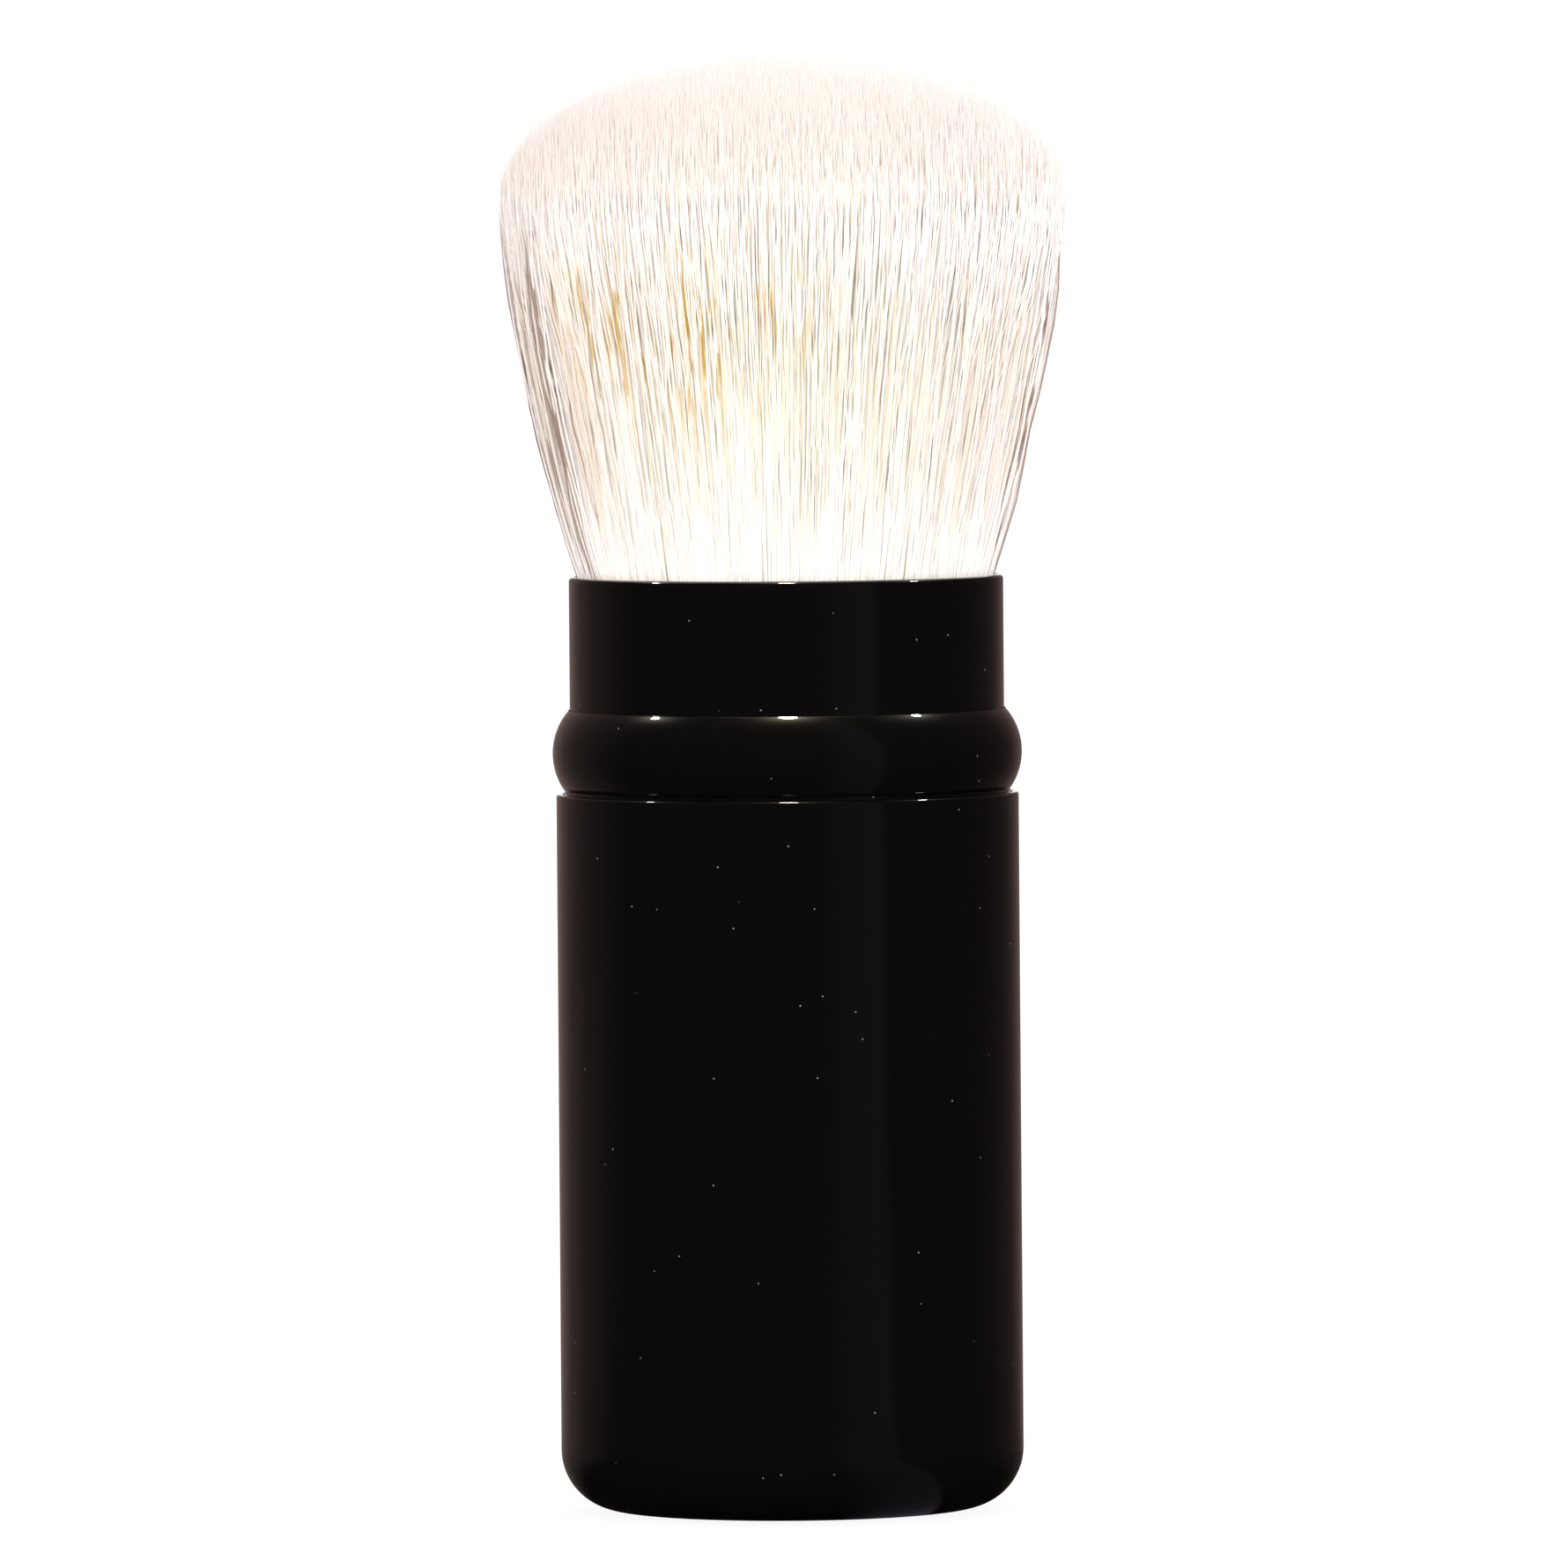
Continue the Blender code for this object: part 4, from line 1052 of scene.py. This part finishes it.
def addHorizon(tree, place):
    # the studio's colour on the bearing of a place or direction, seen from the brush
    parts = addNode(tree, "ShaderNodeSeparateXYZ", links={"Vector": place}).outputs
    ahead = addNode(tree, "ShaderNodeMath", {"operation": "MULTIPLY", 1: -1.0}, {0: parts["Y"]})
    bearing = addNode(tree, "ShaderNodeMath", {"operation": "ARCTAN2"}, {0: parts["X"], 1: ahead})
    share = addNode(tree, "ShaderNodeMapRange", {
        "From Min": -math.pi, "From Max": math.pi
    }, {"Value": bearing})
    stops = [((degrees + 180) / 360, hexCode) for degrees, hexCode in studio["horizon"]]
    return addNode(tree, "ShaderNodeValToRGB", {"stops": stops}, {"Fac": share})


def makeFloor(look):
    # a pale sweep: nearly its own white for the camera, and a little lit by the lamps, so it takes a shadow
    pickNothing()
    bpy.ops.mesh.primitive_plane_add(size=look["floorSize"], location=(0, 0, look["floorHeight"]))
    floor = bpy.context.object
    floor.name = "floor"
    bpy.ops.object.transform_apply(location=True, rotation=True, scale=True)
    material = bpy.data.materials.new("paleSweep")
    material.use_nodes = True
    tree = material.node_tree
    tree.nodes.clear()
    paths = addNode(tree, "ShaderNodeLightPath").outputs
    place = addNode(tree, "ShaderNodeTexCoord").outputs["Object"]
    reach = addNode(tree, "ShaderNodeVectorMath", {"operation": "LENGTH"}, {0: place})
    (near, far), (start, end) = look["floorGlow"], look["floorFade"]
    glow = addNode(tree, "ShaderNodeMapRange", {
        "From Min": start, "From Max": end, "To Min": near, "To Max": far
    }, {"Value": reach.outputs["Value"]})
    direct = addNode(tree, "ShaderNodeMath", {"operation": "MAXIMUM"}, {
        0: paths["Is Camera Ray"], 1: paths["Is Transmission Ray"]
    })
    level = addNode(tree, "ShaderNodeMath", {"operation": "MULTIPLY"}, {0: glow, 1: direct})
    white = addNode(tree, "ShaderNodeEmission", {"Color": (1, 1, 1, 1)}, {"Strength": level})
    sent = addNode(tree, "ShaderNodeMapRange", {
        "To Min": look["floorShade"], "To Max": look["floorBounce"]
    }, {"Value": paths["Is Diffuse Ray"]})
    matt = addNode(tree, "ShaderNodeBsdfDiffuse", links={"Color": sent})
    seen = addNode(tree, "ShaderNodeAddShader", links={0: white, 1: matt})
    mirrored = addNode(tree, "ShaderNodeEmission", links={"Color": addHorizon(tree, place)})
    both = addNode(tree, "ShaderNodeMixShader", links={0: paths["Is Glossy Ray"], 1: seen, 2: mirrored})
    addNode(tree, "ShaderNodeOutputMaterial", links={"Surface": both})
    floor.data.materials.append(material)


lamps = (
    # name, place, size, watts, colour, shows in gloss, lights matt surfaces
    ("lampOverLeft", (-0.555, 0.15, 0.75), 0.05, 2.0, "fff4e6", True, False),
    ("lampOverMiddle", (0.006, -0.185, 0.92), 0.09, 8.0, "ffe8cc", True, False),
    ("lampOverRight", (0.52, 0.16, 0.75), 0.05, 2.0, "fff4e6", True, False),
    ("lampFront", (-0.05, -1.30, 0.28), 0.50, 7.5, "ffffff", False, True),
    ("lampBehind", (0.35, 1.30, 0.45), 0.50, 9.0, "ffffff", False, True),
)
lampAim = Vector((0, 0, 0.06))


def makeLamps():
    for name, place, size, watts, colour, inGloss, onMatt in lamps:
        pickNothing()
        aim = (lampAim - Vector(place)).to_track_quat("-Z", "Y").to_euler()
        bpy.ops.object.light_add(type="AREA", location=place, rotation=aim)
        lamp = bpy.context.object
        lamp.name = name
        lamp.data.shape = "DISK"
        lamp.data.size = size
        lamp.data.energy = watts
        lamp.data.color = linearColour(colour)[:3]
        lamp.visible_glossy = inGloss
        lamp.visible_diffuse = onMatt


def makeSurroundings(look):
    # white for the camera, soft light on matt surfaces, stronger in front, and a dark studio for the gloss
    world = bpy.data.worlds.new("studio")
    world.use_nodes = True
    bpy.context.scene.world = world
    tree = world.node_tree
    tree.nodes.clear()
    paths = addNode(tree, "ShaderNodeLightPath").outputs
    way = addNode(tree, "ShaderNodeTexCoord").outputs["Generated"]
    gloss = addNode(tree, "ShaderNodeBackground", links={"Color": addHorizon(tree, way)})
    lean = addNode(tree, "ShaderNodeVectorMath", {"operation": "DOT_PRODUCT", 1: look["fillLean"]}, {0: way})
    level = addNode(tree, "ShaderNodeMath", {"operation": "ADD", 1: look["fill"]}, {0: lean.outputs["Value"]})
    fill = addNode(tree, "ShaderNodeBackground", {"Color": (1, 1, 1, 1)}, {"Strength": level})
    white = addNode(tree, "ShaderNodeBackground", {"Color": (1, 1, 1, 1)})
    lit = addNode(tree, "ShaderNodeMixShader", links={0: paths["Is Glossy Ray"], 1: fill, 2: gloss})
    direct = addNode(tree, "ShaderNodeMath", {"operation": "MAXIMUM"}, {
        0: paths["Is Camera Ray"], 1: paths["Is Transmission Ray"]
    })
    shown = addNode(tree, "ShaderNodeMixShader", links={0: direct, 1: lit, 2: white})
    addNode(tree, "ShaderNodeOutputWorld", links={"Surface": shown})


makeFloor(studio)
makeLamps()
makeSurroundings(studio)
bpy.context.scene.view_settings.view_transform = "Standard"
print("stage lit")
